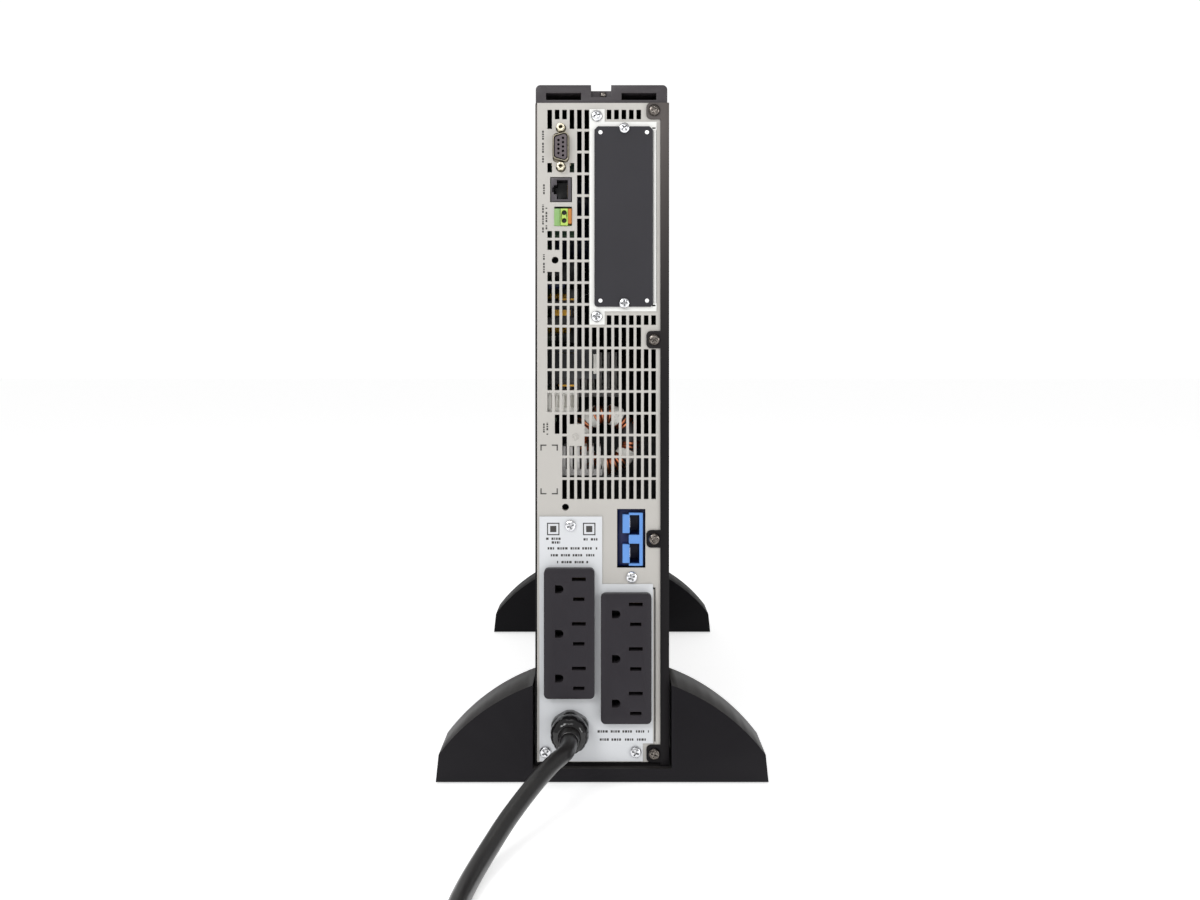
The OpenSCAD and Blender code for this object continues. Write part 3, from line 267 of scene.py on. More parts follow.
# %% [markdown]
# ## Painted shade in recesses
# A driver slot, the foot of a screw head and the root of a fin get little light. Ambient
# occlusion over a short reach finds such places on any shape, and the finishes paint them darker
# as painted shade.

# %% Group: recess
recess, recess_in, recess_out = new_group("recess", {"Reach": 0.002, "Amount": 0.8}, {"Mask": "Float"})
nearby = put(recess, "ShaderNodeAmbientOcclusion", {"Distance": recess_in.outputs["Reach"]}, samples=6)
# Painted shade: the more closely the surroundings close in, the stronger the mask.
hidden = remap(recess, nearby.outputs["AO"], 0.85, 0.35)
recess.links.new(maths(recess, "MULTIPLY", hidden, recess_in.outputs["Amount"]), recess_out.inputs["Mask"])
print("group", recess.name, "has", len(recess.nodes), "nodes")

# %% [markdown]
# ## Layering helpers
# Every coated finish is built in the same order: a base colour that drifts a little, worn edges on
# top of it, dust on top of those, a roughness that follows the same slow patches, and the grain as
# a bump. One helper does that for coats and one for metals, so each finish only states its own
# values, with its colours as screen colours from 0 to 255.

# %% Helpers: mix, coat and plate
def blend_colour(tree, mask, low, high):
    """Colour low where mask is 0 and high where it is 1; each is a colour or an output."""
    mix = put(tree, "ShaderNodeMix", data_type="RGBA")
    for socket, value in ((mix.inputs[6], low), (mix.inputs[7], high)):
        if isinstance(value, tuple):
            socket.default_value = value
        else:
            tree.links.new(value, socket)
    tree.links.new(mask, mix.inputs[0])
    return mix.outputs[2]


def shade(colour, factor):
    """A colour made lighter or darker."""
    return (*[min(1.0, c * factor) for c in colour[:3]], 1.0)


DUST = tone(170, 165, 155)


def dress(tree, shader, base, source, smooth, rough):
    """Feeds a surface its colour, and a roughness that runs between two values with an output."""
    tree.links.new(base, shader.inputs["Base Color"])
    tree.links.new(remap(tree, source, 0, 1, smooth, rough), shader.inputs["Roughness"])


def coated(name, colour, rough, size, bump, drift=0.12, wear=0.3, worn=None, dusty=0.15,
           radius=0.0006, **sockets):
    """Paint or plastic: colour drift, worn edges, dust, varied roughness and a grain bump."""
    material, tree, shader = new_material(name, **sockets)
    colour = tone(*colour)
    texture = use(tree, grain, Size=size)
    base = blend_colour(tree, texture.outputs["Patch"], shade(colour, 1 - drift), shade(colour, 1 + drift))
    edges = use(tree, edge_wear, Radius=radius, Amount=wear)
    base = blend_colour(tree, edges.outputs["Mask"], base, tone(*worn) if worn else shade(colour, 2.2))
    film = use(tree, dust, Amount=dusty)
    base = blend_colour(tree, film.outputs["Mask"], base, DUST)
    dress(tree, shader, base, texture.outputs["Patch"], rough - 0.07, rough + 0.07)
    bumped(tree, shader, texture.outputs["Height"], bump, 0.0002)
    return material


def plated(name, colour, rough, bump=0.1, spangle=300.0, drift=0.1, across=6000.0, corner_shade=0.7,
           **sockets):
    """Bare or plated metal: mill lines, spangle and painted shade in the corners."""
    material, tree, shader = new_material(name, Metallic=1.0, **sockets)
    colour = tone(*colour)
    texture = use(tree, brushed, Spangle=spangle, Across=across)
    base = blend_colour(tree, texture.outputs["Patch"], shade(colour, 1 - drift), shade(colour, 1 + drift))
    # Painted shade: corners and recesses that the occlusion group finds turn nearly black.
    corners = use(tree, recess, Amount=corner_shade)
    base = blend_colour(tree, corners.outputs["Mask"], base, shade(colour, 0.06))
    dress(tree, shader, base, texture.outputs["Height"], rough - 0.1, rough + 0.1)
    bumped(tree, shader, texture.outputs["Height"], bump, 0.0001)
    return material


def painted_sheen_above(material, start, end, colour):
    """Paints a sheen: faces that look backwards turn paler from one height to another, slowly at first,
    standing for the light that falls on them.
    """
    tree = material.node_tree
    shader = tree.nodes["Principled BSDF"]
    coat = shader.inputs["Base Color"].links[0].from_socket
    where = put(tree, "ShaderNodeTexCoord")
    rise = maths(tree, "POWER", remap(tree, axis_of(tree, where.outputs["Object"], "Z"), start, end), 2)
    backwards = remap(tree, axis_of(tree, where.outputs["Normal"], "Y"), -0.6, -1)
    sheen_mask = maths(tree, "MULTIPLY", rise, backwards)
    tree.links.new(blend_colour(tree, sheen_mask, coat, tone(*colour)), shader.inputs["Base Color"])


print("layering helpers ready")

# %% [markdown]
# ## Case finishes
# A finish that only one slot takes goes straight into the table under the slot's name. The panel
# is a smooth warm grey coat, the outlet plate a cooler one, and the wrapped cover a dark textured
# coat with a painted sheen: the upper half of its rear lip is painted paler, standing for the light
# that falls there. The peel on thin sheet is well under a millimetre.

# %% Paints
finish_of = {}


def thin_coat(name, colour, rough):
    """A smooth, even coat on thin light grey sheet."""
    return coated(name, colour, rough, 0.0007, 0.05, drift=0.02, wear=0.0, dusty=0.1)


panel_paint = thin_coat("warm_grey_coat", (184, 181, 176), 0.42)
finish_of["bluish_grey_steel"] = thin_coat("cool_grey_coat", (210, 212, 215), 0.4)
frame_paint = thin_coat("card_frame_coat", (228, 228, 225), 0.4)
cover_paint = coated("dark_textured_coat", (22, 20, 22), 0.5, 0.0009, 0.25, wear=0.0, dusty=0.05,
                     Specular_IOR_Level=0.14)
# Painted sheen on the cover's rear lip: paler towards the top, standing for the light there.
painted_sheen_above(cover_paint, 0.22, 0.42, (88, 83, 81))
finish_of["dark_grey_plate"] = coated(
    "blank_plate_coat", (50, 49, 53), 0.5, 0.0006, 0.15, wear=0.2, worn=(120, 116, 112),
    dusty=0.05, Specular_IOR_Level=0.2)
print("paints ready")

# %% [markdown]
# ## Moulded finishes
# Feet, bezel and top cover are grained black plastic; the outlets are smoother. Each gets its own
# grain size, since a big part has a coarser mould texture than a small one.

# %% Plastics
finish_of["foot_plastic"] = coated(
    "foot_moulding", (20, 18, 22), 0.42, 0.0012, 0.2, wear=0.2, worn=(90, 86, 84),
    dusty=0.12, Specular_IOR_Level=0.16)
# The front foot stands in the case's shade. This darker, less shiny copy of the foot finish paints that
# shade in.
shaded_far_foot_plastic = coated(
    "far_foot_painted_shade", (8, 7, 10), 0.5, 0.0012, 0.2, wear=0.2, worn=(60, 57, 56),
    dusty=0.05, Specular_IOR_Level=0.1)
finish_of["black_plastic"] = coated(
    "top_moulding", (61, 57, 60), 0.45, 0.001, 0.2, worn=(120, 114, 112), Specular_IOR_Level=0.35)
finish_of["bezel_plastic"] = coated(
    "bezel_moulding", (38, 37, 40), 0.42, 0.0008, 0.25, wear=0.2, Specular_IOR_Level=0.4)
finish_of["outlet_plastic"] = coated(
    "outlet_moulding", (42, 39, 44), 0.42, 0.0005, 0.1, wear=0.35, worn=(98, 92, 90),
    dusty=0.05, Specular_IOR_Level=0.22)
gland_plastic = coated(
    "nylon_gland", (20, 19, 20), 0.14, 0.002, 0.03, wear=0.2, worn=(90, 84, 80), dusty=0.0)
plug_plastic = coated("plug_moulding", (34, 34, 36), 0.45, 0.0006, 0.15, wear=0.2)
dark_plastic = coated("dark_moulding", (34, 34, 36), 0.45, 0.0008, 0.15, wear=0.15)
white_plastic = coated("white_nylon", (236, 234, 228), 0.4, 0.0015, 0.05, dusty=0.2)
relay_plastic = coated("relay_case", (30, 30, 34), 0.3, 0.0015, 0.05)
sleeve_plastic = coated("capacitor_sleeve", (38, 48, 92), 0.28, 0.003, 0.04)
for slot, name, colour, rough, size, bump, dusty in (
        ("green_plastic", "green_terminal", (132, 170, 104), 0.35, 0.0015, 0.05, 0.0),
        ("lime_plastic", "lime_terminal", (170, 200, 90), 0.35, 0.0015, 0.05, 0.0),
        ("orange_plastic", "orange_lever", (182, 114, 42), 0.35, 0.0015, 0.05, 0.0),
        ("handle_plastic", "handle_moulding", (38, 38, 40), 0.45, 0.0008, 0.2, 0.15),
        ("display_plastic", "display_moulding", (52, 52, 55), 0.35, 0.0005, 0.1, 0.15),
        ("battery_case", "battery_case", (88, 88, 94), 0.45, 0.001, 0.15, 0.15),
        ("green_button", "on_button_cap", (120, 176, 124), 0.35, 0.0008, 0.05, 0.15),
        ("grey_button", "off_button_cap", (168, 168, 168), 0.35, 0.0008, 0.05, 0.15)):
    finish_of[slot] = coated(name, colour, rough, size, bump, dusty=dusty)
print("plastics ready")

# %% [markdown]
# ## Rubber and woven tape
# The cord's jacket is satin PVC, nearly smooth, with a faint grain. The pads are matt rubber. The
# tie is a woven tape: two crossed wave patterns make its over-and-under.

# %% Jacket, pads and tie
cord_jacket = coated("cord_jacket", (24, 23, 24), 0.3, 0.0025, 0.06, wear=0.0, dusty=0.05)
finish_of["pad_rubber"] = coated("pad_rubber", (26, 26, 26), 0.75, 0.0006, 0.3, wear=0.0)


def woven_tape():
    """Hook tape: a fine basket of threads with a fuzzy sheen."""
    material, tree, shader = new_material("woven_tie", Roughness=0.85, Sheen_Weight=0.4)
    spot = put(tree, "ShaderNodeTexCoord")
    warp, weft = [put(tree, "ShaderNodeTexWave", {"Vector": spot.outputs["Object"]},
                      bands_direction=way, scale=260.0) for way in ("X", "Y")]
    basket = maths(tree, "MULTIPLY", warp.outputs["Fac"], weft.outputs["Fac"])
    threads = blend_colour(tree, basket, tone(20, 20, 22), tone(58, 58, 62))
    tree.links.new(threads, shader.inputs["Base Color"])
    bumped(tree, shader, basket, 0.5, 0.0003)
    return material


tie_fabric = woven_tape()
print("soft finishes ready")

# %% [markdown]
# ## Mouldings seen down their own depth
# A connector's thin walls catch the light at its mouth, while its base and the bottoms of its
# holes sit deep in the case and look nearly black. Both looks are painted: the depth behind the
# panel, taken from the part's own position, blends a lit colour at the mouth into painted shade,
# and the same painted shade fills its corners. The battery connector, the serial insert and the
# data jack share it.

# %% Depth-shaded plastics
def depth_shaded_moulding(name, mouth, base, start, end, rough=0.32):
    """Lit colour mouth down to start millimetres behind the panel's face, and base, a painted shade, from
    end on.
    """
    material, tree, shader = new_material(name, Specular_IOR_Level=0.35)
    mouth, base = tone(*mouth), tone(*base)
    behind_panel = axis_of(tree, put(tree, "ShaderNodeTexCoord").outputs["Object"], "Y")
    depth = remap(tree, behind_panel, REAR + start * MM, REAR + end * MM)
    texture = use(tree, grain, Size=0.0015)
    top_coat = blend_colour(tree, texture.outputs["Patch"], shade(mouth, 0.92), shade(mouth, 1.08))
    # Painted shade: the moulding's corners and recesses blend into the dark base colour.
    corners = use(tree, recess, Reach=0.0012, Amount=0.75)
    top_coat = blend_colour(tree, corners.outputs["Mask"], top_coat, base)
    # Painted shade: deeper behind the panel, the lit mouth colour gives way to the dark base.
    final = blend_colour(tree, depth, top_coat, base)
    dress(tree, shader, final, texture.outputs["Patch"], rough - 0.06, rough + 0.08)
    bumped(tree, shader, texture.outputs["Height"], 0.05, 0.0002)
    return material


# Each one pairs a lit colour for its mouth with a painted shade for its depths.
finish_of["blue_plastic"] = depth_shaded_moulding("blue_connector", (98, 148, 216), (18, 32, 84), 0.4, 3.2)
finish_of["grey_insulator"] = depth_shaded_moulding("socket_insert", (90, 82, 86), (12, 10, 11), -4.3, -3.2, 0.4)
finish_of["jack_plastic"] = depth_shaded_moulding("jack_moulding", (74, 70, 74), (14, 14, 16), 0.4, 7.0)
print("deep mouldings ready")

# %% [markdown]
# ## Metals
# Bright zinc on the screws, galvanised sheet inside, nickel on the plug, a duller tin on the
# serial shell, and black oxide on the cover's screws, whose edges are painted near white: partly
# wear on the oxide, partly a painted highlight. The plated metals carry painted shade in their
# corners.

# %% Plated metals
for slot, name, colour, rough, spangle, drift in (
        ("bright_zinc", "bright_zinc", (226, 227, 230), 0.22, 900.0, 0.06),
        ("plug_nickel", "nickel_plate", (220, 214, 202), 0.22, 300.0, 0.05),
        ("dull_nickel", "tin_shell", (176, 168, 150), 0.35, 700.0, 0.1),
        ("jackscrew_nickel", "standoff_plate", (222, 214, 190), 0.28, 900.0, 0.1),
        ("contact_brass", "spring_brass", (112, 92, 58), 0.45, 300.0, 0.1),
        ("gold_contact", "gold_flash", (120, 100, 60), 0.4, 300.0, 0.1),
        ("silver_contact", "silver_plate", (228, 230, 234), 0.25, 300.0, 0.1)):
    finish_of[slot] = plated(name, colour, rough, spangle=spangle, drift=drift)
zinc_sheet = plated("dull_galvanised_sheet", (84, 85, 86), 0.55, spangle=160.0, drift=0.14)
finish_of["sink_aluminium"] = plated(
    "extruded_aluminium", (186, 184, 182), 0.5, across=2500.0, corner_shade=0.5)
# The black screws' edges are painted near white: partly wear on the oxide, partly a painted highlight
# standing for the glints on their heads.
finish_of["black_screw"] = coated(
    "black_oxide_painted_glints", (96, 90, 86), 0.2, 0.002, 0.05, wear=0.9, worn=(236, 230, 220),
    dusty=0.0, radius=0.0009, Metallic=1.0)
rivet_zinc = plated(
    "rivet_zinc", (244, 244, 244), 0.5, spangle=900.0, drift=0.03, corner_shade=0.2, Specular_IOR_Level=0.8)
print("metals ready")

# %% [markdown]
# ## Circuit board
# A board is green mask over glass cloth, with copper tracks showing as paler lines. Tracks run in
# straight stretches, so the thin joints of a brick pattern stand for them.

# %% Solder mask
def circuit_board():
    """Green mask with paler tracks, a little uneven."""
    material, tree, shader = new_material("solder_mask", Roughness=0.35, Coat_Weight=0.3)
    spot = put(tree, "ShaderNodeTexCoord")
    turned = put(tree, "ShaderNodeMapping", {0: spot.outputs["Object"]})
    turned.inputs["Rotation"].default_value = (0, math.pi / 2, 0)
    tracks = put(tree, "ShaderNodeTexBrick", {"Vector": turned.outputs[0]}, scale=160.0, mortar_size=0.03)
    base = blend_colour(tree, tracks.outputs["Fac"], tone(38, 74, 52), tone(112, 140, 96))
    texture = use(tree, grain, Size=0.0008)
    base = blend_colour(tree, texture.outputs["Patch"], base, tone(30, 62, 44))
    tree.links.new(base, shader.inputs["Base Color"])
    bumped(tree, shader, tracks.outputs["Fac"], 0.3, 0.0001)
    return material


board_green = circuit_board()
tape_yellow = coated("polyester_tape", (232, 172, 44), 0.3, 0.002, 0.1, dusty=0.1)
ferrite = coated("ferrite_core", (60, 58, 60), 0.55, 0.0006, 0.2)
copper = plated("enamelled_copper", (226, 140, 98), 0.35, drift=0.12, Coat_Weight=0.6, corner_shade=0.5)
print("board finishes ready")

# %% [markdown]
# ## Window and lenses
# The display sits behind a tinted clear window. The status lights are coloured lenses with a
# little glow.

# %% Clear plastics
def display_glass():
    """Smoked clear window; a faint smear varies its gloss."""
    material, tree, shader = new_material("display_window", Metallic=0.0, Transmission_Weight=0.55, IOR=1.49)
    smear = use(tree, grain, Size=0.004).outputs["Patch"]
    tint = blend_colour(tree, smear, tone(64, 92, 104), tone(84, 116, 128))
    dress(tree, shader, tint, smear, 0.04, 0.14)
    return material


def lens(name, colour, glow):
    """A lit lens; colour and glow fall off in its dull patches."""
    material, tree, shader = new_material(name, Roughness=0.2, Emission_Strength=glow)
    colour = tone(*colour)
    texture = use(tree, grain, Size=0.001)
    lit = blend_colour(tree, texture.outputs["Patch"], shade(colour, 0.7), colour)
    tree.links.new(lit, shader.inputs["Base Color"])
    tree.links.new(lit, shader.inputs["Emission Color"])
    return material


finish_of["display_glass"] = display_glass()
finish_of["led_lens"] = lens("green_lens", (90, 226, 110), 0.6)
print("clear finishes ready")

# %% [markdown]
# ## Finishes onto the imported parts
# The record names a material slot for each part. One table says which finish each slot takes, and
# a loop hands them out, so no part is left with a flat colour.

# %% Slot to finish
finish_of |= {
    "black_steel": cover_paint, "light_grey_steel": panel_paint, "light_grey_frame": frame_paint,
    "zinc_steel": zinc_sheet, "gland_plastic": gland_plastic, "plug_plastic": plug_plastic,
    "cord_jacket": cord_jacket, "tie_fabric": tie_fabric,
    "board_green": board_green, "capacitor_sleeve": sleeve_plastic, "relay_case": relay_plastic,
    "transformer_tape": tape_yellow, "copper_winding": copper, "white_plastic": white_plastic,
    "fan_plastic": dark_plastic, "rotor_plastic": dark_plastic}
for part in frame["record"]["subparts"]:
    target = nodes[part["node"]]
    for holder in target.material_slots:
        holder.material = finish_of[part["material_slot"]]
    if not target.material_slots:
        target.data.materials.append(finish_of[part["material_slot"]])
# The front foot takes the darker copy, which paints in its shade; the blank plate's rivets take their own
# zinc.
for node, finish in (("front_foot", shaded_far_foot_plastic), ("card_plate_rivets", rivet_zinc)):
    for holder in nodes[node].material_slots:
        holder.material = finish

# %% [markdown]
# ## Softened edges
# No moulded or pressed edge is perfectly sharp, and a thin highlight along it is what tells the
# eye its size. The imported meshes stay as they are: a Weld and a Bevel modifier round them as they
# are drawn. The width follows the process, from a sheet's burr to a moulding's radius.

# %% Round the edges as drawn
def soften(node, width, steps=2, angle=35):
    """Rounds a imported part's edges by width millimetres, without touching its mesh."""
    target = nodes[node]
    target.data.polygons.foreach_set("use_smooth", [True] * len(target.data.polygons))
    weld = target.modifiers.new("weld", "WELD")
    weld.merge_threshold = 0.00001
    bevel = target.modifiers.new("bevel", "BEVEL")
    bevel.width = width * MM
    bevel.segments = steps
    bevel.limit_method = "ANGLE"
    bevel.angle_limit = math.radians(angle)
    bevel.harden_normals = True


SOFT = {1.2: "rear_foot front_foot battery_blocks", 0.8: "top_cover", 0.7: "front_bezel bay_fascia",
        0.6: "outlet_block_left outlet_block_right display_module drawer_handle relays",
        0.4: "fan_frames", 0.25: "data_jack epo_header epo_plug epo_lever",
        0.3: "outer_cover battery_socket on_button off_button battery_drawer plug_blades terminal_block",
        0.2: "serial_shell serial_jackscrews card_cage front_frame", 0.15: "panel_screws cover_screws"}
for width, names in SOFT.items():
    for node in names.split():
        soften(node, width)
print("edges rounded in", len(SOFT), "widths")

# %% [markdown]
# ## Mesh helpers
# Most added pieces are skins through a row of rings, such as a gland or a plug. One helper lofts
# rings into a mesh, one makes a rounded block, and one hangs a finished mesh on a body.

# %% Helpers for meshes
def finished(name, bm, material, body="cabinet", angle=32):
    """Turns a bmesh into a piece that rides on a body, smooth except at real corners."""
    mesh = bpy.data.meshes.new(name)
    bm.to_mesh(mesh)
    bm.free()
    mesh.shade_smooth()
    mesh.set_sharp_from_angle(angle=math.radians(angle))
    for each in material if isinstance(material, (list, tuple)) else [material]:
        mesh.materials.append(each)
    piece = add_object(name, mesh)
    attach(piece, body)
    return piece


def loft(bm, rings, caps=True, index=0):
    """Skins rings of equal length, each a list of points, and closes both ends."""
    rows = [[bm.verts.new(p) for p in ring] for ring in rings]
    count = len(rows[0])
    faces = [bm.faces.new((a[k], a[(k + 1) % count], b[(k + 1) % count], b[k]))
             for a, b in zip(rows, rows[1:]) for k in range(count)]
    if caps:
        faces += [bm.faces.new(rows[0][::-1]), bm.faces.new(rows[-1])]
    for face in faces:
        face.material_index = index
    return faces


def angles(count):
    """Equal steps of one full turn."""
    return [2 * math.pi * k / count for k in range(count)]


def circle(centre, radius, side, up, count=24):
    """Points on a circle in the plane of side and up."""
    return [centre + radius * (math.cos(a) * side + math.sin(a) * up) for a in angles(count)]


def slab(bm, low, high, edge=0.3, index=0):
    """A rounded block between two corners; edge is its rounding in millimetres."""
    made = bmesh.ops.create_cube(bm, size=1)["verts"]
    for vert in made:
        vert.co = Vector([low[i] if vert.co[i] < 0 else high[i] for i in range(3)])
    near = {edge_ for vert in made for edge_ in vert.link_edges}
    faces = {face for vert in made for face in vert.link_faces}
    for face in faces:
        face.material_index = index
    bmesh.ops.bevel(bm, geom=list(near), offset=edge * MM, segments=2, affect="EDGES", profile=0.6)


X, Y, Z = Vector((1, 0, 0)), Vector((0, 1, 0)), Vector((0, 0, 1))
print("mesh helpers ready")

# %% [markdown]
# ## Mains cord
# A stiff cord hangs out of the gland, bends down under its own weight and runs along the floor. A
# curve with a round bevel keeps its thickness even through each bend. The first stretch is listed
# point by point; the stored length is wound by a loop: two layers of turns that step inwards, climb,
# and step out again, a diameter apart.

# %% Cord: the free stretch
CORD_D = 10.5 * MM
coil_low, coil_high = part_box("cord_coil")
COIL = Vector(((coil_low.x + coil_high.x) / 2, (coil_low.y + coil_high.y) / 2, 0))
drop = [(GLAND.x / MM, -26, GLAND.z / MM), (GLAND.x / MM, -34, GLAND.z / MM), (-23, -46, 32.5),
        (-29, -58, 31), (-35.5, -71, 28), (-42, -84, 24), (-48, -97, 20), (-53.5, -110, 16),
        (-58.5, -124, 12), (-63, -138, 8.5), (-66.5, -153, 6.5), (-69, -168, 5.5), (-70.5, -184, 5.5),
        (-71, -200, 5.5), (-71, -218, 5.5), (-70, -238, 6), (-68, -259, 6)]
tail = [(45, -373, 16), (52, -373, 15.5), (59, -373, 14.5), (66, -373, 14.5)]


def behind(points):
    """Points given in millimetres behind the panel, as places in the frame."""
    return [Vector((x * MM, REAR + y * MM, z * MM)) for x, y, z in points]


# %% Cord: the coil
OUTER_R = (coil_high.x - coil_low.x) / 2 - CORD_D / 2
PITCH = 10.6 * MM
TURNS = 5.25
PER_TURN = 20
layer_low = coil_low.z + CORD_D / 2
layer_high = layer_low + 1.005 * CORD_D


def ease(t):
    """Smooth step from 0 to 1."""
    t = min(1.0, max(0.0, t))
    return t * t * (3 - 2 * t)


def stepped_radius(t):
    """Whole turns stay round, and the last quarter of each moves in by one pitch."""
    t = min(t, TURNS - t)
    return OUTER_R - PITCH * (math.floor(t) + ease((t % 1 - 0.72) / 0.28))


coil = []
for step in range(1, round(TURNS * PER_TURN)):
    t = step / PER_TURN
    angle = math.pi + 2 * math.pi * t
    height = layer_low + (layer_high - layer_low) * ease((t - TURNS / 2 + 0.2) / 0.4)
    coil.append(COIL + Vector((math.cos(angle), math.sin(angle), 0)) * stepped_radius(t) + height * Z)
route = behind(drop) + [COIL - OUTER_R * X + layer_low * Z] + coil + [COIL - OUTER_R * Y + layer_high * Z]
route += [route[-1] + 20 * MM * X] + behind(tail)
print("cord has", len(route), "points,", len(coil), "of them coiled")


# %% Cord: the curve
def round_curve(name, points, diameter, material, body="cabinet", sides=4):
    """A smooth round curve through points."""
    data = bpy.data.curves.new(name, "CURVE")
    data.dimensions = "3D"
    data.bevel_depth = diameter / 2
    data.bevel_resolution = sides
    data.resolution_u = 6
    data.use_fill_caps = True
    spline = data.splines.new("BEZIER")
    spline.bezier_points.add(len(points) - 1)
    for point, place in zip(spline.bezier_points, points):
        point.co = place
        point.handle_left_type = point.handle_right_type = "AUTO"
    data.materials.append(material)
    piece = add_object(name, data)
    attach(piece, body)
    return piece


mains_cord = round_curve("mains_cord", route, CORD_D, cord_jacket)
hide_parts("power_cord", "cord_coil", "cord_tail")
print("cord laid")

# %% [markdown]
# ## Cord gland
# The gland is a glossy nylon cap nut with its corners turned off, and a squat fluted dome. A soft
# tapered sleeve comes out of it round the cord and keeps it from kinking. A ring's radius is the
# smaller of a circle and a hexagon; past the nut the hexagon is so wide that the rings are round.

# %% Gland
PLATE = 1.2 * MM
NUT_ACROSS = 24 * MM
NUT_END = -6.25
ROUND = 1.0


def hex_ring(y, radius, across, lobes=0.0, count=96):
    """A ring at depth y: a circle cut by a hexagon, with shallow flutes if lobes is above 0."""
    ring = []
    for a in angles(count):
        flat = across / 2 / math.cos((a + math.pi / 6) % (math.pi / 3) - math.pi / 6)
        flute = 1 - lobes * max(0.0, math.cos(12 * a)) ** 2
        r = min(radius, flat) * flute
        ring.append(Vector((GLAND.x + r * math.cos(a), y, GLAND.z + r * math.sin(a))))
    return ring


def gland_body():
    """Nut with six small flats, fluted dome and the sleeve around the cord."""
    base = REAR - PLATE
    nut = [(20, 9.4, 0), (0, 9.4, 0), (0, 12.2, 0), (-0.6, 12.7, 0), (-5.2, 12.7, 0), (-6.2, 12.2, 0),
           (-6.3, 11.8, 0), (-7.0, 12.2, 0), (-10, 12.3, 0.02), (-13, 11.9, 0.03), (-15.4, 10.8, 0.03),
           (-16.8, 9.2, 0.02), (-17.4, 7.8, 0), (-17.5, 7.2, 0), (-17, 6.6, 0)]
    sleeve = [(-12, 6.8), (-17, 6.8), (-20, 6.6), (-24, 6.2), (-24.6, 6.0), (-24.8, 5.6), (-24.6, 5.3)]
    bm = bmesh.new()
    loft(bm, [hex_ring(base + y * MM, r * MM, NUT_ACROSS if y > NUT_END else ROUND, flute)
              for y, r, flute in nut])
    loft(bm, [hex_ring(base + y * MM, r * MM, ROUND) for y, r in sleeve], index=1)
    return finished("gland_cap", bm, [gland_plastic, cord_jacket], angle=40)


gland_cap = gland_body()
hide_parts("cord_gland")
print("gland cap has", len(gland_cap.data.vertices), "vertices")

# %% [markdown]
# ## Mains plug
# A moulded plug is one soft lump: a ribbed strain relief that swells into a body with rounded
# sides and a flat face. It is lofted along its axis through rounded rectangles. The tie is the
# same rounded rectangle, hollow, around both layers of the coil.

# %% Plug
plug_low, plug_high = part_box("power_plug")
PLUG = Vector((plug_low.x, (plug_low.y + plug_high.y) / 2, (plug_low.z + plug_high.z) / 2))


def soft_ring(centre, half_a, half_b, power, side, up, count=64):
    """A superellipse: power 2 is an ellipse, and a higher power is squarer."""
    ring = []
    for a in angles(count):
        c, s = math.cos(a), math.sin(a)
        ring.append(centre + side * (half_a * math.copysign(abs(c) ** (2 / power), c))
                    + up * (half_b * math.copysign(abs(s) ** (2 / power), s)))
    return ring


def plug_body():
    """Strain relief with ribs, shoulders and the flat face."""
    rings = [(0, 5.9, 5.9, 2.0)]
    for rib in range(4):
        x, r = 1.2 + rib * 4.2, 6.1 + 0.55 * rib
        rings += [(x, r, r, 2.0), (x + 2.2, r + 0.2, r + 0.2, 2.0), (x + 2.5, r - 0.9, r - 0.9, 2.0),
                  (x + 3.9, r - 0.7, r - 0.7, 2.0)]
    rings += [(18, 8.6, 8.6, 2.0), (21, 10.6, 11.2, 2.4), (24, 12.4, 13.8, 3.0), (27.5, 13.3, 15.2, 3.8),
              (32, 13.2, 15.1, 4.0), (36, 13.0, 14.9, 4.0), (40, 13.6, 15.5, 4.5), (43.2, 14.1, 15.9, 5.0),
              (45.2, 14.1, 15.9, 5.0), (46, 13.4, 15.2, 5.0)]
    bm = bmesh.new()
    loft(bm, [soft_ring(PLUG + x * MM * X, b * MM, a * MM, p, Y, Z) for x, a, b, p in rings])
    return finished("plug_body", bm, plug_plastic, angle=38)


plug_piece = plug_body()
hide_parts("power_plug")

# %% Coil tie
def coil_strap():
    """A band of woven tape around the coil's section, rounded where it bends over the turns."""
    low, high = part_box("coil_tie")
    centre, half = (low + high) / 2, (high - low) / 2
    bm = bmesh.new()
    rings = [soft_ring(Vector((centre.x, y, centre.z)), half.x - inset * MM, half.z - inset * MM, 5.0, X, Z)
             for y, inset in ((low.y + 1 * MM, 0.1), (high.y - 1 * MM, 0.1), (high.y - 0.7 * MM, 0.7),
                              (high.y - 1 * MM, 1.3), (low.y + 1 * MM, 1.3), (low.y + 0.7 * MM, 0.7))]
    loft(bm, rings + [rings[0]], caps=False)
    bmesh.ops.remove_doubles(bm, verts=bm.verts, dist=0.00001)
    return finished("coil_strap", bm, tie_fabric, angle=60)


tie_piece = coil_strap()
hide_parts("coil_tie")

# %% [markdown]
# ## Wound choke
# Behind the lower grille stands the output choke: an iron-powder ring wound with thick enamelled
# wire and bound with white tape. Each turn of the winding is one loop of a single curve that runs
# round the ring's own section, and the turns lean a little, as hand-wound ones do.

# %% Choke: ring and winding
choke_low, choke_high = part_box("toroid_choke")
SECTION_R = (choke_high.y - choke_low.y) / 2
RING_R = 17.5 * MM
OUT = RING_R + SECTION_R
CHOKE = Vector((choke_high.x - OUT, (choke_low.y + choke_high.y) / 2, choke_high.z - OUT))
WIRE_D = 2.1 * MM
CORE_R = 4.6 * MM
TAPE_WIDTH = math.radians(19)


def on_ring(around, section, radius):
    """A point on the choke: an angle around the ring and one around its section."""
    outward = Vector((math.cos(around), 0, math.sin(around)))
    return CHOKE + outward * (RING_R + radius * math.cos(section)) + Y * radius * math.sin(section)


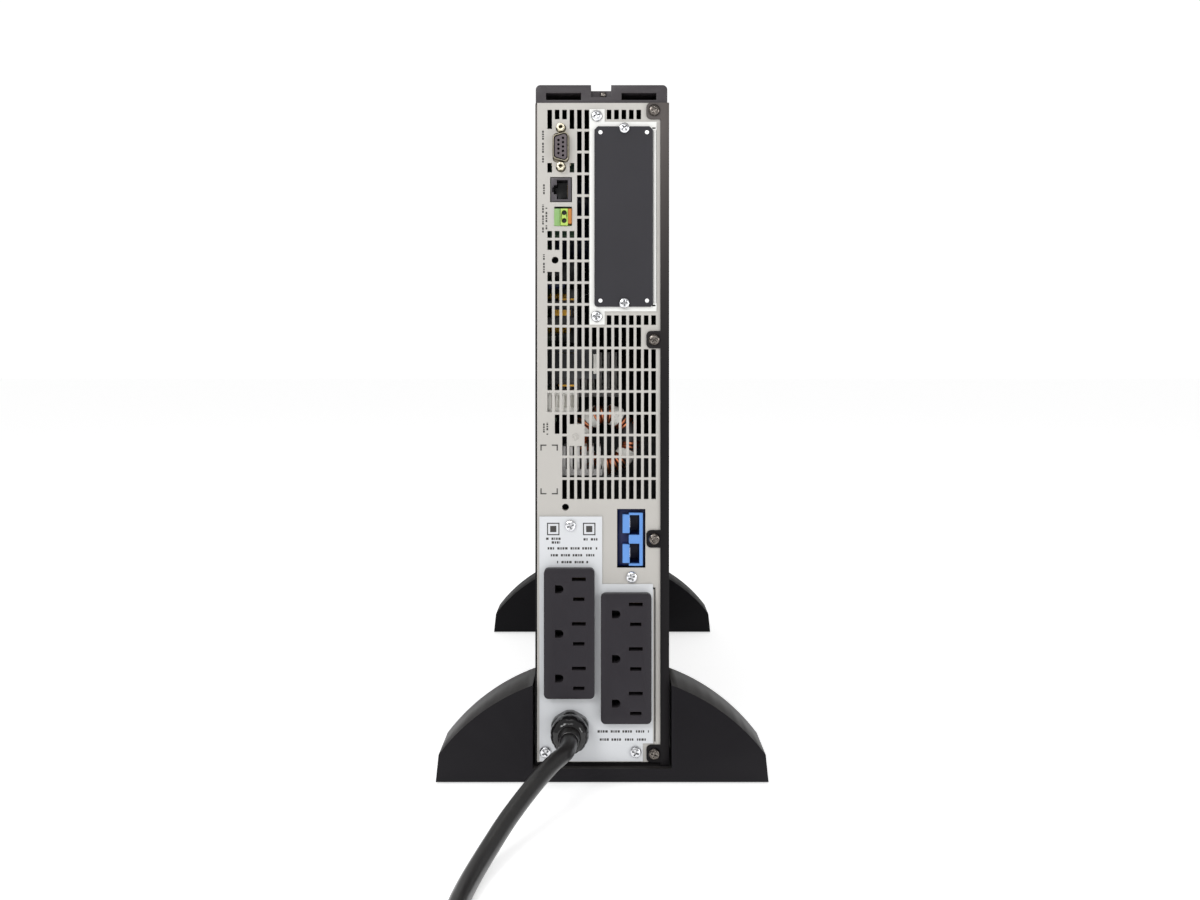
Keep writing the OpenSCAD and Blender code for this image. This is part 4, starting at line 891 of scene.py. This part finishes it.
def winding():
    """One wire in 38 turns, each leaning forwards as it passes to the next."""
    turns, per_turn = 38, 10
    points = []
    for k in range(turns * per_turn + 1):
        t = k / per_turn
        around = math.radians(30) + math.radians(325) * t / turns
        wobble = 1 + 0.03 * math.sin(7.3 * math.floor(t))
        points.append(on_ring(around, 2 * math.pi * t, (SECTION_R - 0.6 * MM - WIRE_D / 2) * wobble))
    return round_curve("choke_winding", points, WIRE_D, copper, sides=2)


def choke_core():
    """The ring itself."""
    bm = bmesh.new()
    rings = [[on_ring(around, section, CORE_R) for section in angles(14)] for around in angles(40)]
    loft(bm, rings + [rings[0]], caps=False)
    bmesh.ops.remove_doubles(bm, verts=bm.verts, dist=0.00001)
    return finished("choke_core", bm, ferrite)


def band(around, lean, width, radius, bm):
    """A strip of tape round the ring's section, leaning by an angle."""
    rows = []
    for section in angles(20):
        shift = lean * math.sin(section) / 2
        rows.append([on_ring(around + shift + side * width / 2, section, radius + puff)
                     for side, puff in ((-1, 0), (1, 0), (1, -0.3 * MM), (-1, -0.3 * MM))])
    loft(bm, rows + [rows[0]], caps=False)


def choke_tape():
    """Six broad strips of white glass-cloth tape."""
    bm = bmesh.new()
    for degrees, lean in ((70, 0.3), (118, -0.25), (165, 0.35), (215, -0.3), (268, 0.3), (320, -0.3)):
        band(math.radians(degrees), lean, TAPE_WIDTH, SECTION_R - 0.1 * MM, bm)
    bmesh.ops.remove_doubles(bm, verts=bm.verts, dist=0.00001)
    return finished("choke_tape", bm, white_plastic)


def choke_bracket():
    """A folded clip under the ring, out to the case wall."""
    bm = bmesh.new()
    slab(bm, (choke_low.x, CHOKE.y - 3 * MM, choke_low.z),
         (CHOKE.x + 9 * MM, CHOKE.y + 3 * MM, choke_low.z + 3.7 * MM))
    return finished("choke_bracket", bm, zinc_sheet)


choke_wire = winding()
choke_pieces = [choke_wire, choke_core(), choke_tape(), choke_bracket()]
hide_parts("toroid_choke")
print("choke has", len(choke_pieces), "pieces")

# %% [markdown]
# ## Parts on the main board
# Through the grille a few things show on the main board: small wound parts, resistors, a white
# label and wire ends. They are small lofts and rounded blocks in one mesh, on the board's face.

# %% Board parts
board_low, board_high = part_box("main_board")
FACE = board_high.x
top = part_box("rear_panel")[1].z


def barrel(bm, x0, x1, y, z, radius, index):
    """A component with a waisted body, lying along X."""
    stations = [(0, 0.6), (0.04, 0.95), (0.12, 1), (0.3, 0.93), (0.7, 0.93), (0.88, 1), (0.96, 0.95),
                (1, 0.6)]
    loft(bm, [circle(Vector((x0 + (x1 - x0) * t, y, z)), radius * k, Y, Z, 16) for t, k in stations],
         index=index)


def board_parts():
    """Rows of small components; places count down from the top of the panel."""
    bm = bmesh.new()
    for k in range(9):
        y, z = board_low.y + (10 + 6.5 * k) * MM, top - (108 + 7.3 * k) * MM
        barrel(bm, FACE, FACE + (8 + 3 * (k % 3)) * MM, y, z, (2 + 0.6 * (k % 2)) * MM, k % 3)
    for k in range(7):
        low = Vector((FACE, board_low.y + (30 + 5 * (k % 4)) * MM, top - (116 + 12 * k) * MM))
        slab(bm, low, low + Vector((4 + k % 3 * 2, 6, 3.4)) * MM, 0.25, 3)
    for k in range(5):
        slab(bm, (FACE, board_low.y + (3 + 2 * k) * MM, top - (206 - 4 * k) * MM),
             (FACE + 6 * MM, board_low.y + (4.6 + 2 * k) * MM, top - (203.4 - 4 * k) * MM), 0.2, 4)
    tag_y = board_low.y + 4 * MM
    slab(bm, (FACE, tag_y, top - 178 * MM), (-2 * MM, tag_y + 24 * MM, top - 158 * MM), 0.6, 0)
    slab(bm, (-5.8 * MM, tag_y - 0.15 * MM, top - 174.5 * MM), (-2.0 * MM, tag_y, top - 161.5 * MM), 0.05, 3)
    coats = [relay_plastic, sleeve_plastic, tape_yellow, white_plastic, board_green]
    return finished("board_components", bm, coats)


board_pieces = board_parts()
print("board parts have", len(board_pieces.data.polygons), "faces")

# %% [markdown]
# ## Taped transformers
# A small switching transformer is a dark ferrite core around a wound bobbin, held by yellow
# polyester tape. The core is two rounded blocks with the winding between them, and a strip of tape
# closes each end.

# %% Transformers
trafo_low, trafo_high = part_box("transformers")


def transformer(bm, base, tall, amber):
    """One transformer, standing up from its base height; index 0 ferrite, 1 tape, 2 winding."""
    y0, y1 = trafo_low.y + 2 * MM, trafo_high.y - 2 * MM
    reach = FACE + 18 * MM
    slab(bm, (FACE, y0, base), (reach, y1, base + tall * 0.3 * MM), 0.6, 0)
    slab(bm, (FACE, y0, base + tall * 0.7 * MM), (reach, y1, base + tall * MM), 0.6, 0)
    slab(bm, (FACE + 2 * MM, y0 + 1.5 * MM, base + tall * 0.28 * MM),
         (reach - 1.5 * MM, y1 - 1.5 * MM, base + tall * 0.72 * MM), 1.6, 1 if amber else 2)
    for z in (base - 1.6 * MM, base + tall * MM):
        slab(bm, (FACE + 7 * MM, trafo_low.y, z), (FACE + 19 * MM, trafo_high.y, z + 1.6 * MM), 0.25, 1)


def transformers():
    """The two transformers in one mesh."""
    bm = bmesh.new()
    transformer(bm, trafo_low.z + 1.6 * MM, 20, False)
    transformer(bm, trafo_high.z - 17.6 * MM, 16, True)
    return finished("taped_transformers", bm, [ferrite, tape_yellow, copper])


taped = transformers()
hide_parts("transformers")
print("transformers have", len(taped.data.polygons), "faces")

# %% [markdown]
# ## Terminal screws and the card channel
# Each wire hole of the emergency terminal ends in a dark clamp screw. The screws come out with
# the plug, so they ride on it. Beside the blank plate the card's folded channel shows as a narrow
# ridge between two seams, laid on the sheet.

# %% Small fittings
def clamp_screws():
    """Two slotted screws, down in the terminal's wire holes."""
    low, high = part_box("epo_plug")
    bm = bmesh.new()
    x = low.x + 2.3 * MM
    for z in (low.z + 3.1 * MM, low.z + 8.18 * MM):
        rings = ((4.4, 0.5), (4.0, 1.45), (2.9, 1.5), (2.6, 1.25))
        loft(bm, [circle(Vector((x, low.y + y * MM, z)), r * MM, X, Z, 20) for y, r in rings])
        slab(bm, (x - 1.2 * MM, low.y + 2.45 * MM, z - 0.2 * MM),
             (x + 1.2 * MM, low.y + 2.62 * MM, z + 0.2 * MM), 0.02)
    return finished("clamp_screws", bm, relay_plastic, "emergency_plug")


def card_channel():
    """A ridge between two dark seams, as long as the blank plate."""
    low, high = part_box("card_blank_plate")
    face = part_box("card_frame")[0].y
    bm = bmesh.new()
    slab(bm, (high.x + 0.75 * MM, face - 0.35 * MM, low.z + 2.6 * MM),
         (high.x + 1.9 * MM, face, high.z - 2.6 * MM), 0.12)
    for x in (high.x + 0.5 * MM, high.x + 1.9 * MM):
        slab(bm, (x, face - 0.05 * MM, low.z + 2.2 * MM), (x + 0.28 * MM, face, high.z - 2.2 * MM), 0.01, 1)
    return finished("card_channel", bm, [frame_paint, relay_plastic])


fittings = [clamp_screws(), card_channel()]
print("added", [piece.name for piece in fittings])

# %% [markdown]
# ## Printed marks
# The panel is printed beside its ports. The marks are plain bars, grouped like lines of small
# print, so they give the panel its busy scale and spell nothing. The ink is a few hundredths of a
# millimetre proud, thicker than real ink.

# %% Ink bars
ink = coated("panel_ink", (58, 56, 54), 0.6, 0.0008, 0.02, drift=0.15, wear=0.0, dusty=0.0)
INK = 0.03 * MM


def patch(bm, x0, z0, x1, z1, face):
    """A flat patch of ink on a face, between two opposite corners in millimetres."""
    slab(bm, (min(x0, x1) * MM, face - INK, min(z0, z1) * MM),
         (max(x0, x1) * MM, face + INK, max(z0, z1) * MM), 0.01)


def bars(bm, x, z, length, height, seed, face, upright=False):
    """A line of short bars; upright lines run up the panel. Sizes in millimetres."""
    at, k = 0.0, seed
    while at < length:
        wide = 0.7 + 0.9 * ((k * 37 % 11) / 10)
        if k % 5 != 4:
            end = min(at + wide, length)
            if upright:
                patch(bm, x, z + at, x + height, z + end, face)
            else:
                patch(bm, x + at, z, x + end, z + height, face)
        at += wide + 0.45
        k += 1


def printed_marks():
    """Lines of bars by the ports and outlets, two filled squares and a label's four corners."""
    bm = bmesh.new()
    for x, z, length, seed in (
            (-38.6, 397, 22, 1), (-38.0, 375, 8, 4), (-38.6, 352, 18, 7), (-36.4, 354, 14, 2),
            (-38.0, 326, 12, 5), (-38.0, 222, 8, 9), (-35.8, 222, 8, 3)):
        bars(bm, x, z, length, 1.1, seed, REAR, upright=True)
    plate = REAR - PLATE
    for x, z, length, seed in (
            (-35, 148.4, 32, 1), (-33, 144.0, 28, 6), (-29, 139.6, 20, 3), (-36, 154.6, 11, 8),
            (-12, 154.2, 9, 2), (-34, 152.2, 7, 4), (-3, 30.9, 33, 5), (-3, 25.7, 33, 9)):
        bars(bm, x, z, length, 1.5, seed, plate)
    for x in (-35.4, -12.3):
        for a, b, c, d in ((0, 0, 8, 0.7), (0, 7.3, 8, 8), (0, 0, 0.7, 8), (7.3, 0, 8, 8), (2, 2, 6, 6)):
            patch(bm, x + a, 157.6 + b, x + c, 157.6 + d, plate)
    for x, sx in ((-39.7, 1), (-28.5, -1)):
        for z, sz in ((183.7, 1), (215.7, -1)):
            for wide, high in ((3.9, 0.8), (0.8, 3.9)):
                patch(bm, x, z, x + wide * sx, z + high * sz, REAR)
    return finished("printed_marks", bm, ink)


def pressed_stud():
    """A low round boss pressed out of the solid patch in the grille."""
    bm = bmesh.new()
    centre = Vector((-17 * MM, REAR, 220.6 * MM))
    profile = ((0.1, 2.3), (-0.15, 2.2), (-0.45, 1.9), (-0.45, 1.6), (0.0, 1.3), (0.02, 0.9), (-0.3, 0.6))
    loft(bm, [circle(centre + y * MM * Y, r * MM, X, Z, 24) for y, r in profile])
    return finished("pressed_stud", bm, panel_paint)


marks = [printed_marks(), pressed_stud()]
print("added", [piece.name for piece in marks])

# %% [markdown]
# ## Studio
# A pale floor that runs out of sight, a white surround, a soft light over the camera's left
# shoulder, a weaker one at its right, a wide one above to draw the top edges, and a small one just
# over the camera, which glints in the screws. A very weak one behind the grille stands for the
# light that the room bounces inside.

# %% Floor, surround and lights
def pale_floor():
    """A large plain floor with a faint tone drift."""
    bm = bmesh.new()
    bmesh.ops.create_grid(bm, x_segments=1, y_segments=1, size=12)
    mesh = bpy.data.meshes.new("floor")
    bm.to_mesh(mesh)
    bm.free()
    material, tree, shader = new_material("pale_floor", Roughness=0.7)
    texture = use(tree, grain, Size=0.01)
    drift = blend_colour(tree, texture.outputs["Patch"], (0.88, 0.88, 0.88, 1), (0.92, 0.92, 0.92, 1))
    tree.links.new(drift, shader.inputs["Base Color"])
    shader.inputs["Emission Color"].default_value = (1, 1, 1, 1)
    shader.inputs["Emission Strength"].default_value = 0.55
    mesh.materials.append(material)
    add_object("floor", mesh)


def soft_light(name, place, aim, size, power):
    """A square area light that faces a point."""
    data = bpy.data.lights.new(name, "AREA")
    data.size = size
    data.energy = power
    light = add_object(name, data)
    light.location = place
    light.rotation_euler = (Vector(aim) - Vector(place)).to_track_quat("-Z", "Y").to_euler()


pale_floor()
world = bpy.data.worlds.new("surround")
world.use_nodes = True
sky = world.node_tree
around = sky.nodes["Background"]
backdrop = put(sky, "ShaderNodeBackground")
for surround, strength in ((around, 0.48), (backdrop, 1.05)):
    surround.inputs[0].default_value = (1, 1, 1, 1)
    surround.inputs[1].default_value = strength
seen = put(sky, "ShaderNodeLightPath").outputs["Is Camera Ray"]
choose = put(sky, "ShaderNodeMixShader", {0: seen, 1: around.outputs[0], 2: backdrop.outputs[0]})
sky.links.new(choose.outputs[0], sky.nodes["World Output"].inputs[0])
bpy.context.scene.world = world
soft_light("key", (-0.75, -1.5, 1.05), (0, 0, 0.25), 0.6, 9)
soft_light("fill", (1.5, -1.7, 0.5), (0, 0, 0.2), 0.6, 6)
soft_light("top", (0, 0.2, 2.0), (0, 0, 0.3), 1.0, 8)
soft_light("crown", (0.05, REAR - 0.85, 0.72), (0.03, REAR, 0.4), 0.3, 0.8)
soft_light("inside", (0.005, REAR + 0.012, 0.23), (0, REAR + 0.2, 0.2), 0.06, 0.006)
bpy.data.objects["inside"].visible_camera = False
print("studio lit")
